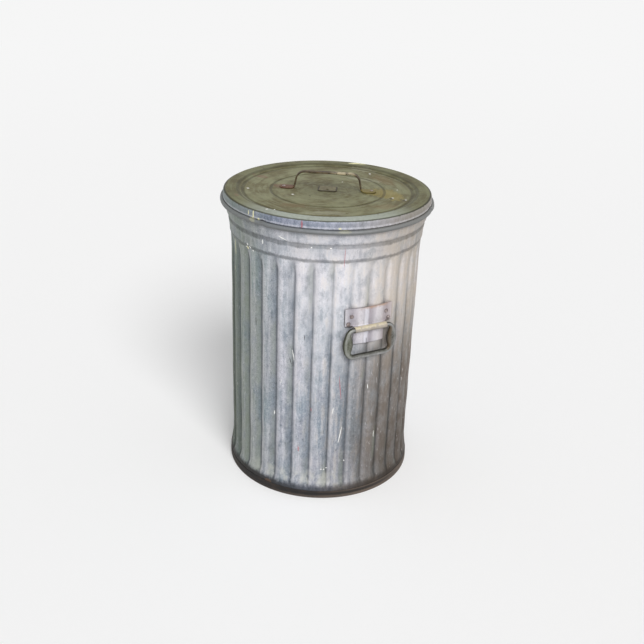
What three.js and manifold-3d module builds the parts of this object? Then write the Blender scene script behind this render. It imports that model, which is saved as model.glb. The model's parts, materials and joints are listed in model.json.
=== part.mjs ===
// A galvanized steel trash can with a lift-off lid: a fluted sheet wall with a wired rim, a hemmed base,
// a pressed drop handle on each side and a strap handle on the lid. Millimetres, +Z up, the can standing
// on z = 0 with its axis on the Z axis and its two side handles on +X and -X.
import * as THREE from "three";
import { mergeVertices } from "three/addons/utils/BufferGeometryUtils.js";
import Module from "manifold-3d";

const wasm = await Module();
wasm.setup();

const RAD = Math.PI / 180;

// ---- Sheet and fits -------------------------------------------------------------------------------------
const SHEET = 0.9; // galvanized sheet of the wall, the lid, the bottom and the base hoop
const SEAT = 0.3; // gap between pieces that rest on or lie against each other
const PIN_FIT = 0.5; // running gap of a handle's bar in its bracket

// ---- Wall -----------------------------------------------------------------------------------------------
const RIM_TOP = 698.8; // top of the can without its lid
const RIDGE_FOOT_R = 220.4; // crest of the flutes just above the base, which the other radii follow
const RIDGE_TAPER = 1; // the crest is wider by this at the flutes' upper end
const FLUTES = 32;
const FLUTE_DEPTH = 6;
const FLUTE_CROWN = 0.3; // share of half a flute that is ridge before the side falls away
const FLUTE_FOOT_Z = 28; // the flutes run out here into the foot band
const FLARE_RISE = 2.8; // the wall flares by this over the crest where the flutes run out
const FLUTE_FOOT_FULL_Z = 48;
const FLUTE_HEAD_FULL_DROP = 104; // below the rim, as every height above the flutes
const FLUTE_HEAD_DROP = 97; // and here they run out into the swages
const FOOT_BAND_Z = 22; // the foot band is plain and upright up to here
const SWAGE_STEPS = [ // the two rolled bands and the groove between them: drop, and rise over the crest
  [92, 2.2],
  [79, 2.8],
  [65, 5.2],
  [59, 4.8],
  [51, 9],
  [35, 12],
  [19, 10.8],
];
const RIM_WIRE_R = 2.6;
const RIM_WIRE_RISE = 10.6; // the rim wire's ring over the crest
const CURL_LOOSE = 0.5; // radial room round a wire in its curl

// ---- Lock seam of the wall, on the side away from the handles -------------------------------------------
const SEAM_WIDTH = 9;
const SEAM_RISE = 1.1;
const SEAM_AZIMUTH = 90 * RAD;

// ---- Base -----------------------------------------------------------------------------------------------
const HOOP_RISE = 5.7; // the bead on which the can stands, over the crest at the flutes' foot
const HOOP_HEIGHT = 19;
const HOOP_INNER_HEIGHT = 8;
const FOOT_BEAD_HEIGHT = 5.5;
const FOOT_BEAD_RISE = 0.6;
const HOOP_EDGE = 0.8; // rounding of the standing edge
const PAN_Z = 23; // upper face of the bottom, next to the wall
const PAN_DISH_R = 100;
const PAN_DISH_RISE = 2;
const PAN_DISH_SLOPE = 4;
const PAN_BEND = 4;

// ---- Lid ------------------------------------------------------------------------------------------------
const LID_TURN = 57.7 * RAD; // how the lid happens to lie on the can
const PANEL_DROP = 4.5; // the middle of the lid lies this far below its shoulder
const PANEL_CROWN = 0.5;
const GROOVE_DEPTH = 0.9;
const GROOVE_HALF = 2.5;
const INNER_GROOVE_OUT = 19.2; // outside the ends of the handle's feet
const OUTER_GROOVE_IN = 11.3; // inside the foot of the shoulder
const SHOULDER_SLOPE = 6; // width of the rise from the panel to the shoulder
const SHOULDER_WIDTH = 22;
const SHOULDER_ROUND = 3.2; // height of the bevel between shoulder and skirt
const SHOULDER_BEVEL = 4.4; // and its width
const LID_FIT = 1.5; // room between the rim and the skirt
const SKIRT_FLARE = 0.8;
const SKIRT_DROP = 17; // from the shoulder to the foot of the skirt
const LID_WIRE_OUT = 1.3; // the lid's wire ring outside the foot of the skirt
const LID_WIRE_DROP = 24; // and below the shoulder
const LID_WIRE_R = 3.6;

// ---- Lid handle -----------------------------------------------------------------------------------------
const STRAP_WIDTH = 14;
const STRAP_THICK = 3.6;
const GRIP_RISE = 39; // middle of the grip above the panel
const GRIP_HALF = 69.5; // where the legs would meet the grip without their bends
const LEG_HALF = 77;
const GRIP_BEND = 20;
const LEG_BEND = 6;
const PAD_LENGTH = 34;
const PAD_WIDTH = 25;
const PAD_END_R = 10;
const PAD_THICK = 2.4;
const PAD_RIVET_OUT = 24; // from the leg

// ---- Plate in the middle of the lid ---------------------------------------------------------------------
const LID_PLATE_LENGTH = 44;
const LID_PLATE_WIDTH = 40;
const LID_PLATE_THICK = 1.6;
const LID_PLATE_HOLE_R = 3.5;
const LID_PLATE_HOLE_Y = -10;

// ---- Side handles ---------------------------------------------------------------------------------------
const PIVOT_Z = 445;
const PIVOT_OUT = 5.8; // the handle's axis outside the crest of the flutes
const PIVOT_R = 5;
const BRACKET_SHEET = 1.3;
const PLATE_HALF = 60; // measured along the wall
const PLATE_RISE = 49; // these heights are measured from the handle's axis
const BARREL_HALF = 40;
const FLANGE_HALF = 38;
const FLANGE_DROP = 39;
const UPPER_RIVET_RISE = 29; // over the first valley on each side
const CORNER_RIVET_RISE = 11.5;
const CORNER_RIVET_SIDE = 50.5;
const BAIL_DROP = 66; // from the axis to the middle of the grip
const BAIL_HALF = 55.5;
const BAIL_TOP_BEND = 12;
const BAIL_GRIP_BEND = 17;
const BAIL_GRIP_GAIN = 0.9; // the grip is thicker than the bar in the bracket by this, in radius
const ARM_WIDTH_GAIN = 7; // the pressed arms swell by this half width in their middle
const ARM_DEPTH_GAIN = 2.2;

// ---- Rivets ---------------------------------------------------------------------------------------------
const RIVET_SHANK_R = 2;
const RIVET_HEAD_R = 4.2;
const RIVET_HEAD_HEIGHT = 1.9;
const RIVET_TAIL_R = 3.2;
const RIVET_TAIL_HEIGHT = 1.2;
const RIVET_FIT = 0.25;

// ---- Facets ---------------------------------------------------------------------------------------------
const COLUMNS = 1.5 * FLUTES; // round every plain ring of the can
const FLUTED_COLUMNS = 6 * FLUTES;
const LID_COLUMNS = 48;
const WIRE_SIDES = 6; // the curls bend at the same angles as their wires
const RIVET_SIDES = 6;
const HOLE_SIDES = 12;
const BAIL_SIDES = 10;
const BEND_STEPS = 4;

// Values that follow from the sizes above.
const RIDGE_HEAD_R = RIDGE_FOOT_R + RIDGE_TAPER;
const FLUTE_HEAD_FULL_Z = RIM_TOP - FLUTE_HEAD_FULL_DROP;
const FLUTE_HEAD_Z = RIM_TOP - FLUTE_HEAD_DROP;
const FLARE_R = RIDGE_FOOT_R + FLARE_RISE;
const HOOP_R = RIDGE_FOOT_R + HOOP_RISE;
const RIM_CURL_IN = RIM_WIRE_R + CURL_LOOSE;
const RIM_CURL_OUT = RIM_CURL_IN + SHEET;
const RIM_WIRE_RING_R = RIDGE_HEAD_R + RIM_WIRE_RISE;
const RIM_WIRE_Z = RIM_TOP - RIM_CURL_OUT;
const LID_CURL_IN = LID_WIRE_R + CURL_LOOSE;
const LID_CURL_OUT = LID_CURL_IN + SHEET;
const SKIRT_R = RIM_WIRE_RING_R + RIM_CURL_OUT + LID_FIT + SHEET;
const LID_WIRE_RING_R = SKIRT_R + SKIRT_FLARE + LID_WIRE_OUT;
const SHOULDER_OUTER_R = SKIRT_R - SHOULDER_BEVEL;
const SHOULDER_FLAT_R = SHOULDER_OUTER_R - SHOULDER_WIDTH;
const SHOULDER_INNER_R = SHOULDER_FLAT_R - SHOULDER_SLOPE;
const OUTER_GROOVE_R = SHOULDER_INNER_R - OUTER_GROOVE_IN;
const INNER_GROOVE_R = LEG_HALF + PAD_LENGTH + INNER_GROOVE_OUT;
const LID_UNDERSIDE = RIM_TOP + SEAT;
const LID_TOP = LID_UNDERSIDE + SHEET;
const PANEL_Z = LID_TOP - PANEL_DROP;
const LID_WIRE_Z = LID_TOP - LID_WIRE_DROP;
const HOOP_LEG_R = HOOP_R - FOOT_BEAD_RISE;
const FOOT_R = HOOP_LEG_R - SHEET - SEAT;
const PAN_R = FOOT_R - SHEET - SEAT;
const HOOP_INNER_R = PAN_R - SHEET - SEAT;
const WALL_FOOT_Z = SHEET + SEAT;
const PLATE_TOP_Z = PIVOT_Z + PLATE_RISE;
const FLANGE_FOOT_Z = PIVOT_Z - FLANGE_DROP;
const BRACKET_R = ridgeRadius(PLATE_TOP_Z) + SEAT;
const PIVOT_X = ridgeRadius(PIVOT_Z) + PIVOT_OUT;
const BARREL_IN = PIVOT_R + PIN_FIT;
const BARREL_OUT = BARREL_IN + BRACKET_SHEET;

const GALVANIZED = { color: 0x9a9da3, roughness: 0.5, metalness: 0.75 };
const LID_PATINA = { color: 0x85866f, roughness: 0.6, metalness: 0.65 };
const HANDLE_STEEL = { color: 0x6c6a60, roughness: 0.6, metalness: 0.6 };
const BROWN_STEEL = { color: 0x40371f, roughness: 0.65, metalness: 0.5 };
const RUSTED_BASE = { color: 0x33302d, roughness: 0.75, metalness: 0.5 };
const BARE_WIRE = { color: 0x77787a, roughness: 0.5, metalness: 0.8 };

function node(name, geometry, finish) {
  const mesh = new THREE.Mesh(geometry, new THREE.MeshStandardMaterial(finish));
  mesh.name = name;
  return mesh;
}

// ---- Solids and booleans --------------------------------------------------------------------------------
function solidOf(geometry) {
  const bare = geometry.clone();
  bare.deleteAttribute("normal");
  bare.deleteAttribute("uv");
  const merged = mergeVertices(bare, 1e-4);
  const made = new wasm.Mesh({
    numProp: 3,
    vertProperties: new Float32Array(merged.attributes.position.array),
    triVerts: new Uint32Array(merged.index.array),
  });
  return new wasm.Manifold(made);
}

function geometryOf(solid) {
  const mesh = solid.getMesh();
  const geometry = new THREE.BufferGeometry();
  geometry.setAttribute("position", new THREE.BufferAttribute(mesh.vertProperties, 3));
  geometry.setIndex(new THREE.BufferAttribute(mesh.triVerts, 1));
  geometry.computeVertexNormals();
  return geometry;
}

function joined(first, ...others) {
  return geometryOf(others.reduce((all, next) => all.add(solidOf(next)), solidOf(first)));
}

function cut(body, ...tools) {
  return geometryOf(tools.reduce((left, tool) => left.subtract(solidOf(tool)), solidOf(body)));
}

// ---- Forms ----------------------------------------------------------------------------------------------
// Revolves a closed profile of [radius, height] points round Z. A profile that touches the axis starts and
// ends on it, and any other is closed here. The points may run either way round.
function revolved(profile, columns = COLUMNS) {
  const area = profile.reduce((sum, [r, z], i) => {
    const [nextR, nextZ] = profile[(i + 1) % profile.length];
    return sum + r * nextZ - nextR * z;
  }, 0);
  const points = (area > 0 ? profile : [...profile].reverse()).map(([r, z]) => new THREE.Vector2(r, z));
  if (points.every((p) => p.x > 0)) points.push(points[0].clone());
  return new THREE.LatheGeometry(points, columns).rotateX(Math.PI / 2);
}

// Points on an arc in the [radius, height] plane, one for each angle in degrees.
function arc(centreR, centreZ, radius, angles) {
  return angles.map((a) => [centreR + radius * Math.cos(a * RAD), centreZ + radius * Math.sin(a * RAD)]);
}

// Joins each ring of points to the next, and the last to the first, as one closed skin. A ring may have a
// whole number of times as many points as its neighbour. Ring by ring the points run anticlockwise.
function skinned(rings) {
  const starts = rings.map((_, i) => rings.slice(0, i).reduce((sum, ring) => sum + ring.length, 0));
  const faces = [];
  rings.forEach((lower, a) => {
    const b = (a + 1) % rings.length;
    const upper = rings[b];
    const coarse = Math.min(lower.length, upper.length);
    const ratio = Math.max(lower.length, upper.length) / coarse;
    const apexChange = Math.ceil(ratio / 2);
    const low = (i) => starts[a] + (i % lower.length);
    const high = (i) => starts[b] + (i % upper.length);
    for (let i = 0; i < coarse; i += 1) {
      for (let j = 0; j < ratio; j += 1) {
        const apex = j < apexChange ? i : i + 1;
        const fine = ratio * i + j;
        if (lower.length >= upper.length) faces.push(low(fine), low(fine + 1), high(apex));
        else faces.push(low(apex), high(fine + 1), high(fine));
      }
      const middle = ratio * i + apexChange;
      if (lower.length >= upper.length) faces.push(high(i), low(middle), high(i + 1));
      else faces.push(low(i), low(i + 1), high(middle));
    }
  });
  const geometry = new THREE.BufferGeometry().setFromPoints(rings.flat());
  geometry.setIndex(faces);
  geometry.computeVertexNormals();
  return geometry;
}

// A path through corners of {x, y, r}, each rounded by its own radius r; a corner without r stays sharp.
function filleted(corners, closed) {
  const points = [];
  corners.forEach((corner, i) => {
    const here = new THREE.Vector2(corner.x, corner.y);
    if (!corner.r || (!closed && (i === 0 || i === corners.length - 1))) {
      points.push(here);
      return;
    }
    const before = corners[(i + corners.length - 1) % corners.length];
    const after = corners[(i + 1) % corners.length];
    const back = new THREE.Vector2(before.x, before.y).sub(here).normalize();
    const ahead = new THREE.Vector2(after.x, after.y).sub(here).normalize();
    const half = Math.acos(THREE.MathUtils.clamp(back.dot(ahead), -1, 1)) / 2;
    const centre = back.clone().add(ahead).normalize().multiplyScalar(corner.r / Math.sin(half)).add(here);
    const start = back.clone().multiplyScalar(corner.r / Math.tan(half)).add(here).sub(centre);
    const sweep = (Math.PI - 2 * half) * Math.sign(ahead.cross(back));
    for (let k = 0; k <= BEND_STEPS; k += 1) {
      points.push(start.clone().rotateAround(new THREE.Vector2(), (sweep * k) / BEND_STEPS).add(centre));
    }
  });
  return points;
}

// The two sides of a strip that follows a path of points, as one closed outline.
function stripOutline(path, thickness) {
  const side = (sign) =>
    path.map((point, i) => {
      const before = path[Math.max(i - 1, 0)];
      const after = path[Math.min(i + 1, path.length - 1)];
      const along = after.clone().sub(before).normalize();
      const normal = new THREE.Vector2(-along.y, along.x);
      return point.clone().addScaledVector(normal, (sign * thickness) / 2);
    });
  return [...side(1), ...side(-1).reverse()];
}

// Extrudes an outline in the XZ plane by the same length to both sides along Y.
function extrudedAcross(shape, length) {
  const geometry = new THREE.ExtrudeGeometry(shape, { depth: length, bevelEnabled: false, curveSegments: 6 });
  return geometry.translate(0, 0, -length / 2).rotateX(Math.PI / 2);
}

// A cylinder along +X from one distance to another, at a distance to the side and a height.
function crossBore(radius, from, to, azimuth, z) {
  return new THREE.CylinderGeometry(radius, radius, to - from, HOLE_SIDES)
    .rotateZ(Math.PI / 2)
    .translate((from + to) / 2, 0, z)
    .rotateZ(azimuth);
}

function uprightBore(radius, z, height, x, y) {
  return new THREE.CylinderGeometry(radius, radius, height, HOLE_SIDES).rotateX(Math.PI / 2).translate(x, y, z);
}

// ---- Wall -----------------------------------------------------------------------------------------------
function ridgeRadius(z) {
  const share = (z - FLUTE_FOOT_FULL_Z) / (FLUTE_HEAD_FULL_Z - FLUTE_FOOT_FULL_Z);
  return RIDGE_FOOT_R + (RIDGE_HEAD_R - RIDGE_FOOT_R) * share;
}

// 0 on a ridge and 1 in the middle of a valley. A valley lies on the +X axis.
function valleyShare(azimuth) {
  const turn = (azimuth * FLUTES) / (2 * Math.PI);
  const fromRidge = 1 - 2 * Math.abs(turn - Math.round(turn));
  return THREE.MathUtils.smoothstep(fromRidge, FLUTE_CROWN, 1);
}

function ring(columns, z, radiusAt) {
  return Array.from({ length: columns }, (_, i) => {
    const azimuth = (2 * Math.PI * i) / columns;
    const radius = radiusAt(azimuth);
    return new THREE.Vector3(radius * Math.cos(azimuth), radius * Math.sin(azimuth), z);
  });
}

const plainRing = ([radius, z]) => ring(COLUMNS, z, () => radius);

const flutedRing = (z, radius) =>
  ring(FLUTED_COLUMNS, z, (azimuth) => radius - FLUTE_DEPTH * valleyShare(azimuth));

// One side of the wall from the foot up to the curl, set in from the outer face by an inset.
function wallFace(inset) {
  return [
    plainRing([FOOT_R - inset, WALL_FOOT_Z]),
    plainRing([FOOT_R - inset, FOOT_BAND_Z]),
    plainRing([FLARE_R - inset, FLUTE_FOOT_Z]),
    flutedRing(FLUTE_FOOT_FULL_Z, RIDGE_FOOT_R - inset),
    flutedRing(FLUTE_HEAD_FULL_Z, RIDGE_HEAD_R - inset),
    plainRing([RIDGE_HEAD_R - inset, FLUTE_HEAD_Z]),
    ...SWAGE_STEPS.map(([drop, rise]) => plainRing([RIDGE_HEAD_R + rise - inset, RIM_TOP - drop])),
  ];
}

const RIM_CURL_ANGLES = [180, 120, 60, 0, -50];

function curledWall() {
  const curl = (radius) => arc(RIM_WIRE_RING_R, RIM_WIRE_Z, radius, RIM_CURL_ANGLES).map(plainRing);
  return skinned([
    ...wallFace(0),
    ...curl(RIM_CURL_IN),
    ...curl(RIM_CURL_OUT).reverse(),
    ...wallFace(SHEET).reverse(),
  ]);
}

// The folded seam where the rolled sheet meets itself, standing proud on both faces of one valley.
function lockSeam() {
  const inner = RIDGE_FOOT_R - FLUTE_DEPTH - SHEET;
  const outer = RIDGE_HEAD_R - FLUTE_DEPTH + SEAM_RISE;
  const height = FLUTE_HEAD_FULL_Z - FLUTE_FOOT_FULL_Z;
  return new THREE.BoxGeometry(outer - inner, SEAM_WIDTH, height)
    .translate((inner + outer) / 2, 0, (FLUTE_HEAD_FULL_Z + FLUTE_FOOT_FULL_Z) / 2)
    .rotateZ(SEAM_AZIMUTH);
}

const FLUTE_PITCH = (2 * Math.PI) / FLUTES;
const CORNER_RIVET_TURN = CORNER_RIVET_SIDE / BRACKET_R;
const SIDE_RIVETS = [
  { name: "upper_front", azimuth: -FLUTE_PITCH, z: PIVOT_Z + UPPER_RIVET_RISE },
  { name: "upper_back", azimuth: FLUTE_PITCH, z: PIVOT_Z + UPPER_RIVET_RISE },
  { name: "corner_front", azimuth: -CORNER_RIVET_TURN, z: PIVOT_Z + CORNER_RIVET_RISE },
  { name: "corner_back", azimuth: CORNER_RIVET_TURN, z: PIVOT_Z + CORNER_RIVET_RISE },
];

// Innermost radius of the wall under a rivet's tail, so that the tail clears the sides of the flute.
function wallUnder(rivet) {
  const reach = RIVET_TAIL_R / BRACKET_R;
  const depths = [-1, -0.5, 0, 0.5, 1].map((share) => valleyShare(rivet.azimuth + share * reach));
  return ridgeRadius(rivet.z) - FLUTE_DEPTH * Math.max(...depths) - SHEET;
}

function bodyWall() {
  const bores = SIDE_RIVETS.flatMap(({ azimuth, z }) =>
    [0, Math.PI].map((side) =>
      crossBore(RIVET_SHANK_R + RIVET_FIT, RIDGE_FOOT_R - 2 * FLUTE_DEPTH, BRACKET_R + SHEET, azimuth + side, z),
    ),
  );
  return cut(joined(curledWall(), lockSeam()), ...bores);
}

function wireRing(ringRadius, z, radius, columns) {
  const angles = Array.from({ length: WIRE_SIDES }, (_, i) => (360 * i) / WIRE_SIDES);
  return revolved(arc(ringRadius, z, radius, angles), columns);
}

// ---- Base -----------------------------------------------------------------------------------------------
// A dished disc whose rim turns down inside the wall and stands in the hoop.
function bottomPan() {
  const dishOuter = PAN_DISH_R + PAN_DISH_SLOPE;
  const face = (inset) => [
    [0, PAN_Z + PAN_DISH_RISE - inset],
    [PAN_DISH_R, PAN_Z + PAN_DISH_RISE - inset],
    [dishOuter, PAN_Z - inset],
    [PAN_R - PAN_BEND, PAN_Z - inset],
    [PAN_R - inset, PAN_Z - PAN_BEND],
    [PAN_R - inset, WALL_FOOT_Z],
  ];
  return revolved([...face(0), ...face(SHEET).reverse()]);
}

// A channel that holds the lower edges of the wall and the bottom, with a bead to stand on.
function baseHoop() {
  const innerFace = HOOP_INNER_R - SHEET;
  return revolved([
    [innerFace + HOOP_EDGE, 0],
    [HOOP_R - HOOP_EDGE, 0],
    [HOOP_R, HOOP_EDGE],
    [HOOP_R, FOOT_BEAD_HEIGHT],
    [HOOP_LEG_R, FOOT_BEAD_HEIGHT + 2 * FOOT_BEAD_RISE],
    [HOOP_LEG_R, HOOP_HEIGHT],
    [HOOP_LEG_R - SHEET, HOOP_HEIGHT],
    [HOOP_LEG_R - SHEET, SHEET],
    [HOOP_INNER_R, SHEET],
    [HOOP_INNER_R, HOOP_INNER_HEIGHT],
    [innerFace, HOOP_INNER_HEIGHT],
    [innerFace, HOOP_EDGE],
  ]);
}

// ---- Lid ------------------------------------------------------------------------------------------------
const LID_CURL_ANGLES = [180, 240, 300, 360, 420, 460];

// The pressed lid: a panel with two grooves, a raised shoulder, a skirt and a curl rolled outward.
function lidPan() {
  const groove = (radius) => [
    [radius - GROOVE_HALF, PANEL_Z],
    [radius, PANEL_Z - GROOVE_DEPTH],
    [radius + GROOVE_HALF, PANEL_Z],
  ];
  const top = [
    [0, PANEL_Z + PANEL_CROWN],
    ...groove(INNER_GROOVE_R),
    [OUTER_GROOVE_R - GROOVE_HALF, PANEL_Z],
    [OUTER_GROOVE_R, PANEL_Z - GROOVE_DEPTH],
    [SHOULDER_INNER_R, LID_TOP - SHEET],
    [SHOULDER_FLAT_R, LID_TOP],
    [SHOULDER_OUTER_R, LID_TOP],
  ];
  const skirt = (inset) => [
    [SKIRT_R - inset, LID_TOP - SHOULDER_ROUND],
    [SKIRT_R + SKIRT_FLARE - inset, LID_TOP - SKIRT_DROP],
    ...arc(LID_WIRE_RING_R, LID_WIRE_Z, LID_CURL_IN + inset, LID_CURL_ANGLES),
  ];
  const lowered = top.map(([radius, z]) => [radius, z - SHEET]);
  const profile = [...top, ...skirt(0), ...skirt(SHEET).reverse(), ...lowered.reverse()];
  const bores = [-1, 1].map((side) =>
    uprightBore(RIVET_SHANK_R + RIVET_FIT, PANEL_Z, 10 * SHEET, side * (LEG_HALF + PAD_RIVET_OUT), 0),
  );
  return cut(revolved(profile, LID_COLUMNS), ...bores);
}

// A flat strap bent up from two pads, with the grip level between its legs.
function lidHandle() {
  const middle = STRAP_THICK / 2;
  const end = LEG_HALF + PAD_LENGTH / 2;
  const path = filleted([
    { x: -end, y: middle },
    { x: -LEG_HALF, y: middle, r: LEG_BEND },
    { x: -GRIP_HALF, y: GRIP_RISE, r: GRIP_BEND },
    { x: GRIP_HALF, y: GRIP_RISE, r: GRIP_BEND },
    { x: LEG_HALF, y: middle, r: LEG_BEND },
    { x: end, y: middle },
  ]);
  const strap = extrudedAcross(new THREE.Shape(stripOutline(path, STRAP_THICK)), STRAP_WIDTH);
  const pads = [-1, 1].map((side) => pad().translate(side * (LEG_HALF + PAD_LENGTH / 2), 0, 0));
  const bores = [-1, 1].map((side) =>
    uprightBore(RIVET_SHANK_R + RIVET_FIT, middle, 3 * STRAP_THICK, side * (LEG_HALF + PAD_RIVET_OUT), 0),
  );
  return cut(joined(strap, ...pads), ...bores);
}

// One foot of the lid handle: a plate with rounded corners, wider than the strap.
function pad() {
  const x = PAD_LENGTH / 2;
  const y = PAD_WIDTH / 2;
  const corners = [[x, y], [-x, y], [-x, -y], [x, -y]].map(([cx, cy]) => ({ x: cx, y: cy, r: PAD_END_R }));
  const shape = new THREE.Shape(filleted(corners, true));
  return new THREE.ExtrudeGeometry(shape, { depth: PAD_THICK, bevelEnabled: false });
}

function lidPlate() {
  const plate = new THREE.BoxGeometry(LID_PLATE_LENGTH, LID_PLATE_WIDTH, LID_PLATE_THICK);
  const hole = uprightBore(LID_PLATE_HOLE_R, 0, 2 * LID_PLATE_THICK, 0, LID_PLATE_HOLE_Y);
  return cut(plate.translate(0, 0, LID_PLATE_THICK / 2), hole.translate(0, 0, LID_PLATE_THICK / 2));
}

// ---- Rivets ---------------------------------------------------------------------------------------------
// A domed rivet along Z. Its head stands on z = 0 and its tail closes under the given grip length.
function rivet(grip) {
  return revolved(
    [
      [0, -grip - RIVET_TAIL_HEIGHT],
      [RIVET_TAIL_R, -grip - RIVET_TAIL_HEIGHT],
      [RIVET_TAIL_R, -grip],
      [RIVET_SHANK_R, -grip],
      [RIVET_SHANK_R, 0],
      [RIVET_HEAD_R, 0],
      [0.75 * RIVET_HEAD_R, 0.7 * RIVET_HEAD_HEIGHT],
      [0, RIVET_HEAD_HEIGHT],
    ],
    RIVET_SIDES,
  );
}

// ---- Side handles ---------------------------------------------------------------------------------------
// A stretch of sheet bent round the wall, between two heights.
function wallPlate(halfWidth, from, to) {
  const half = halfWidth / BRACKET_R;
  const shape = new THREE.Shape();
  shape.absarc(0, 0, BRACKET_R + BRACKET_SHEET, -half, half, false);
  shape.absarc(0, 0, BRACKET_R, half, -half, true);
  const plate = new THREE.ExtrudeGeometry(shape, { depth: to - from, bevelEnabled: false, curveSegments: 6 });
  return plate.translate(0, 0, from);
}

// The half barrel that the bracket forms over the handle's bar, straight across the curved wall.
function barrel() {
  const back = BRACKET_R - BARREL_OUT;
  const shape = new THREE.Shape();
  shape.moveTo(back, BARREL_OUT);
  shape.absarc(PIVOT_X, 0, BARREL_OUT, Math.PI / 2, -Math.PI / 2, true);
  shape.lineTo(back, -BARREL_OUT);
  shape.lineTo(back, -BARREL_IN);
  shape.absarc(PIVOT_X, 0, BARREL_IN, -Math.PI / 2, Math.PI / 2, false);
  shape.lineTo(back, BARREL_IN);
  const open = extrudedAcross(shape, 2 * BARREL_HALF).translate(0, 0, PIVOT_Z);
  const wallSpace = new THREE.CylinderGeometry(BRACKET_R, BRACKET_R, 4 * BARREL_OUT, FLUTED_COLUMNS)
    .rotateX(Math.PI / 2)
    .translate(0, 0, PIVOT_Z);
  return cut(open, wallSpace);
}

function bracket() {
  const bores = SIDE_RIVETS.map(({ azimuth, z }) =>
    crossBore(RIVET_SHANK_R + RIVET_FIT, BRACKET_R - SHEET, PIVOT_X, azimuth, z),
  );
  const whole = joined(
    barrel(),
    wallPlate(PLATE_HALF, PIVOT_Z + BARREL_IN, PLATE_TOP_Z),
    wallPlate(FLANGE_HALF, FLANGE_FOOT_Z, PIVOT_Z - BARREL_IN),
  );
  return cut(whole, ...bores);
}

// The drop handle: a closed loop of pressed steel, round in the bracket and broad in its arms. The loop
// lies in the YZ plane, with its axis on Y.
function bail() {
  const loop = filleted(
    [
      { x: BAIL_HALF, y: 0, r: BAIL_TOP_BEND },
      { x: BAIL_HALF, y: -BAIL_DROP / 2 },
      { x: BAIL_HALF, y: -BAIL_DROP, r: BAIL_GRIP_BEND },
      { x: -BAIL_HALF, y: -BAIL_DROP, r: BAIL_GRIP_BEND },
      { x: -BAIL_HALF, y: -BAIL_DROP / 2 },
      { x: -BAIL_HALF, y: 0, r: BAIL_TOP_BEND },
    ],
    true,
  );
  const sections = loop.map((point, i) => {
    const before = loop[(i + loop.length - 1) % loop.length];
    const after = loop[(i + 1) % loop.length];
    const along = after.clone().sub(before).normalize();
    const down = THREE.MathUtils.clamp(-point.y / BAIL_DROP, 0, 1);
    const swell = Math.sin(Math.PI * down) ** 2;
    const round = PIVOT_R + BAIL_GRIP_GAIN * down;
    return Array.from({ length: BAIL_SIDES }, (_, k) => {
      const angle = (-2 * Math.PI * k) / BAIL_SIDES;
      const inPlane = (round + ARM_WIDTH_GAIN * swell) * Math.cos(angle);
      const depth = (round + ARM_DEPTH_GAIN * swell) * Math.sin(angle);
      return new THREE.Vector3(depth, point.x + along.y * inPlane, point.y - along.x * inPlane);
    });
  });
  return skinned(sections);
}

// ---- Assembly -------------------------------------------------------------------------------------------
function sideHandle(side, turn) {
  const group = new THREE.Group();
  group.rotation.z = turn;
  group.add(node(`handle_bracket_${side}`, bracket(), GALVANIZED));
  const drop = node(`handle_bail_${side}`, bail(), HANDLE_STEEL);
  drop.position.set(PIVOT_X, 0, PIVOT_Z);
  group.add(drop);
  SIDE_RIVETS.forEach((place) => {
    const seat = BRACKET_R + BRACKET_SHEET + SEAT / 2;
    const arm = new THREE.Group();
    arm.rotation.z = place.azimuth;
    const fastener = node(
      `rivet_${side}_${place.name}`,
      rivet(seat - wallUnder(place) + SEAT),
      GALVANIZED,
    );
    fastener.rotation.y = Math.PI / 2;
    fastener.position.set(seat, 0, place.z);
    arm.add(fastener);
    group.add(arm);
  });
  return group;
}

function lid() {
  const group = new THREE.Group();
  group.rotation.z = LID_TURN;
  group.add(node("lid_pan", lidPan(), LID_PATINA));
  group.add(node("lid_rim_wire", wireRing(LID_WIRE_RING_R, LID_WIRE_Z, LID_WIRE_R, LID_COLUMNS), BARE_WIRE));
  const handle = node("lid_handle", lidHandle(), BROWN_STEEL);
  handle.position.z = PANEL_Z + SEAT;
  group.add(handle);
  const plate = node("lid_centre_plate", lidPlate(), LID_PATINA);
  plate.position.z = PANEL_Z + PANEL_CROWN + SEAT;
  group.add(plate);
  [["near", -1], ["far", 1]].forEach(([name, side]) => {
    const seat = SEAT + PAD_THICK + SEAT / 2;
    const fastener = node(`rivet_lid_${name}`, rivet(seat + SHEET + SEAT), BROWN_STEEL);
    fastener.position.set(side * (LEG_HALF + PAD_RIVET_OUT), 0, PANEL_Z + seat);
    group.add(fastener);
  });
  return group;
}

const trashCan = new THREE.Group();
trashCan.add(node("body_wall", bodyWall(), GALVANIZED));
trashCan.add(node("rim_wire", wireRing(RIM_WIRE_RING_R, RIM_WIRE_Z, RIM_WIRE_R, COLUMNS), BARE_WIRE));
trashCan.add(node("bottom_pan", bottomPan(), GALVANIZED));
trashCan.add(node("base_hoop", baseHoop(), RUSTED_BASE));
trashCan.add(sideHandle("right", 0));
trashCan.add(sideHandle("left", Math.PI));
trashCan.add(lid());

export default trashCan;
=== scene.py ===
# %% [markdown]
# # Dressing a galvanized trash can
#
# The can's construction is finished before this script starts: its sheets, handles and joints come in as a
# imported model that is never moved. This lesson gives it its looks. Each sheet is made again as a fine
# surface in the place of its plain solid, and is then painted with nodes: zinc, patina, rust and splashes.
#
# Sizes are in millimetres, as on a workshop drawing, and become metres in the one helper that makes meshes.

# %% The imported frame
import json
import math
import bmesh
import bpy
import numpy as np
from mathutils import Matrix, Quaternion, Vector


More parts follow.
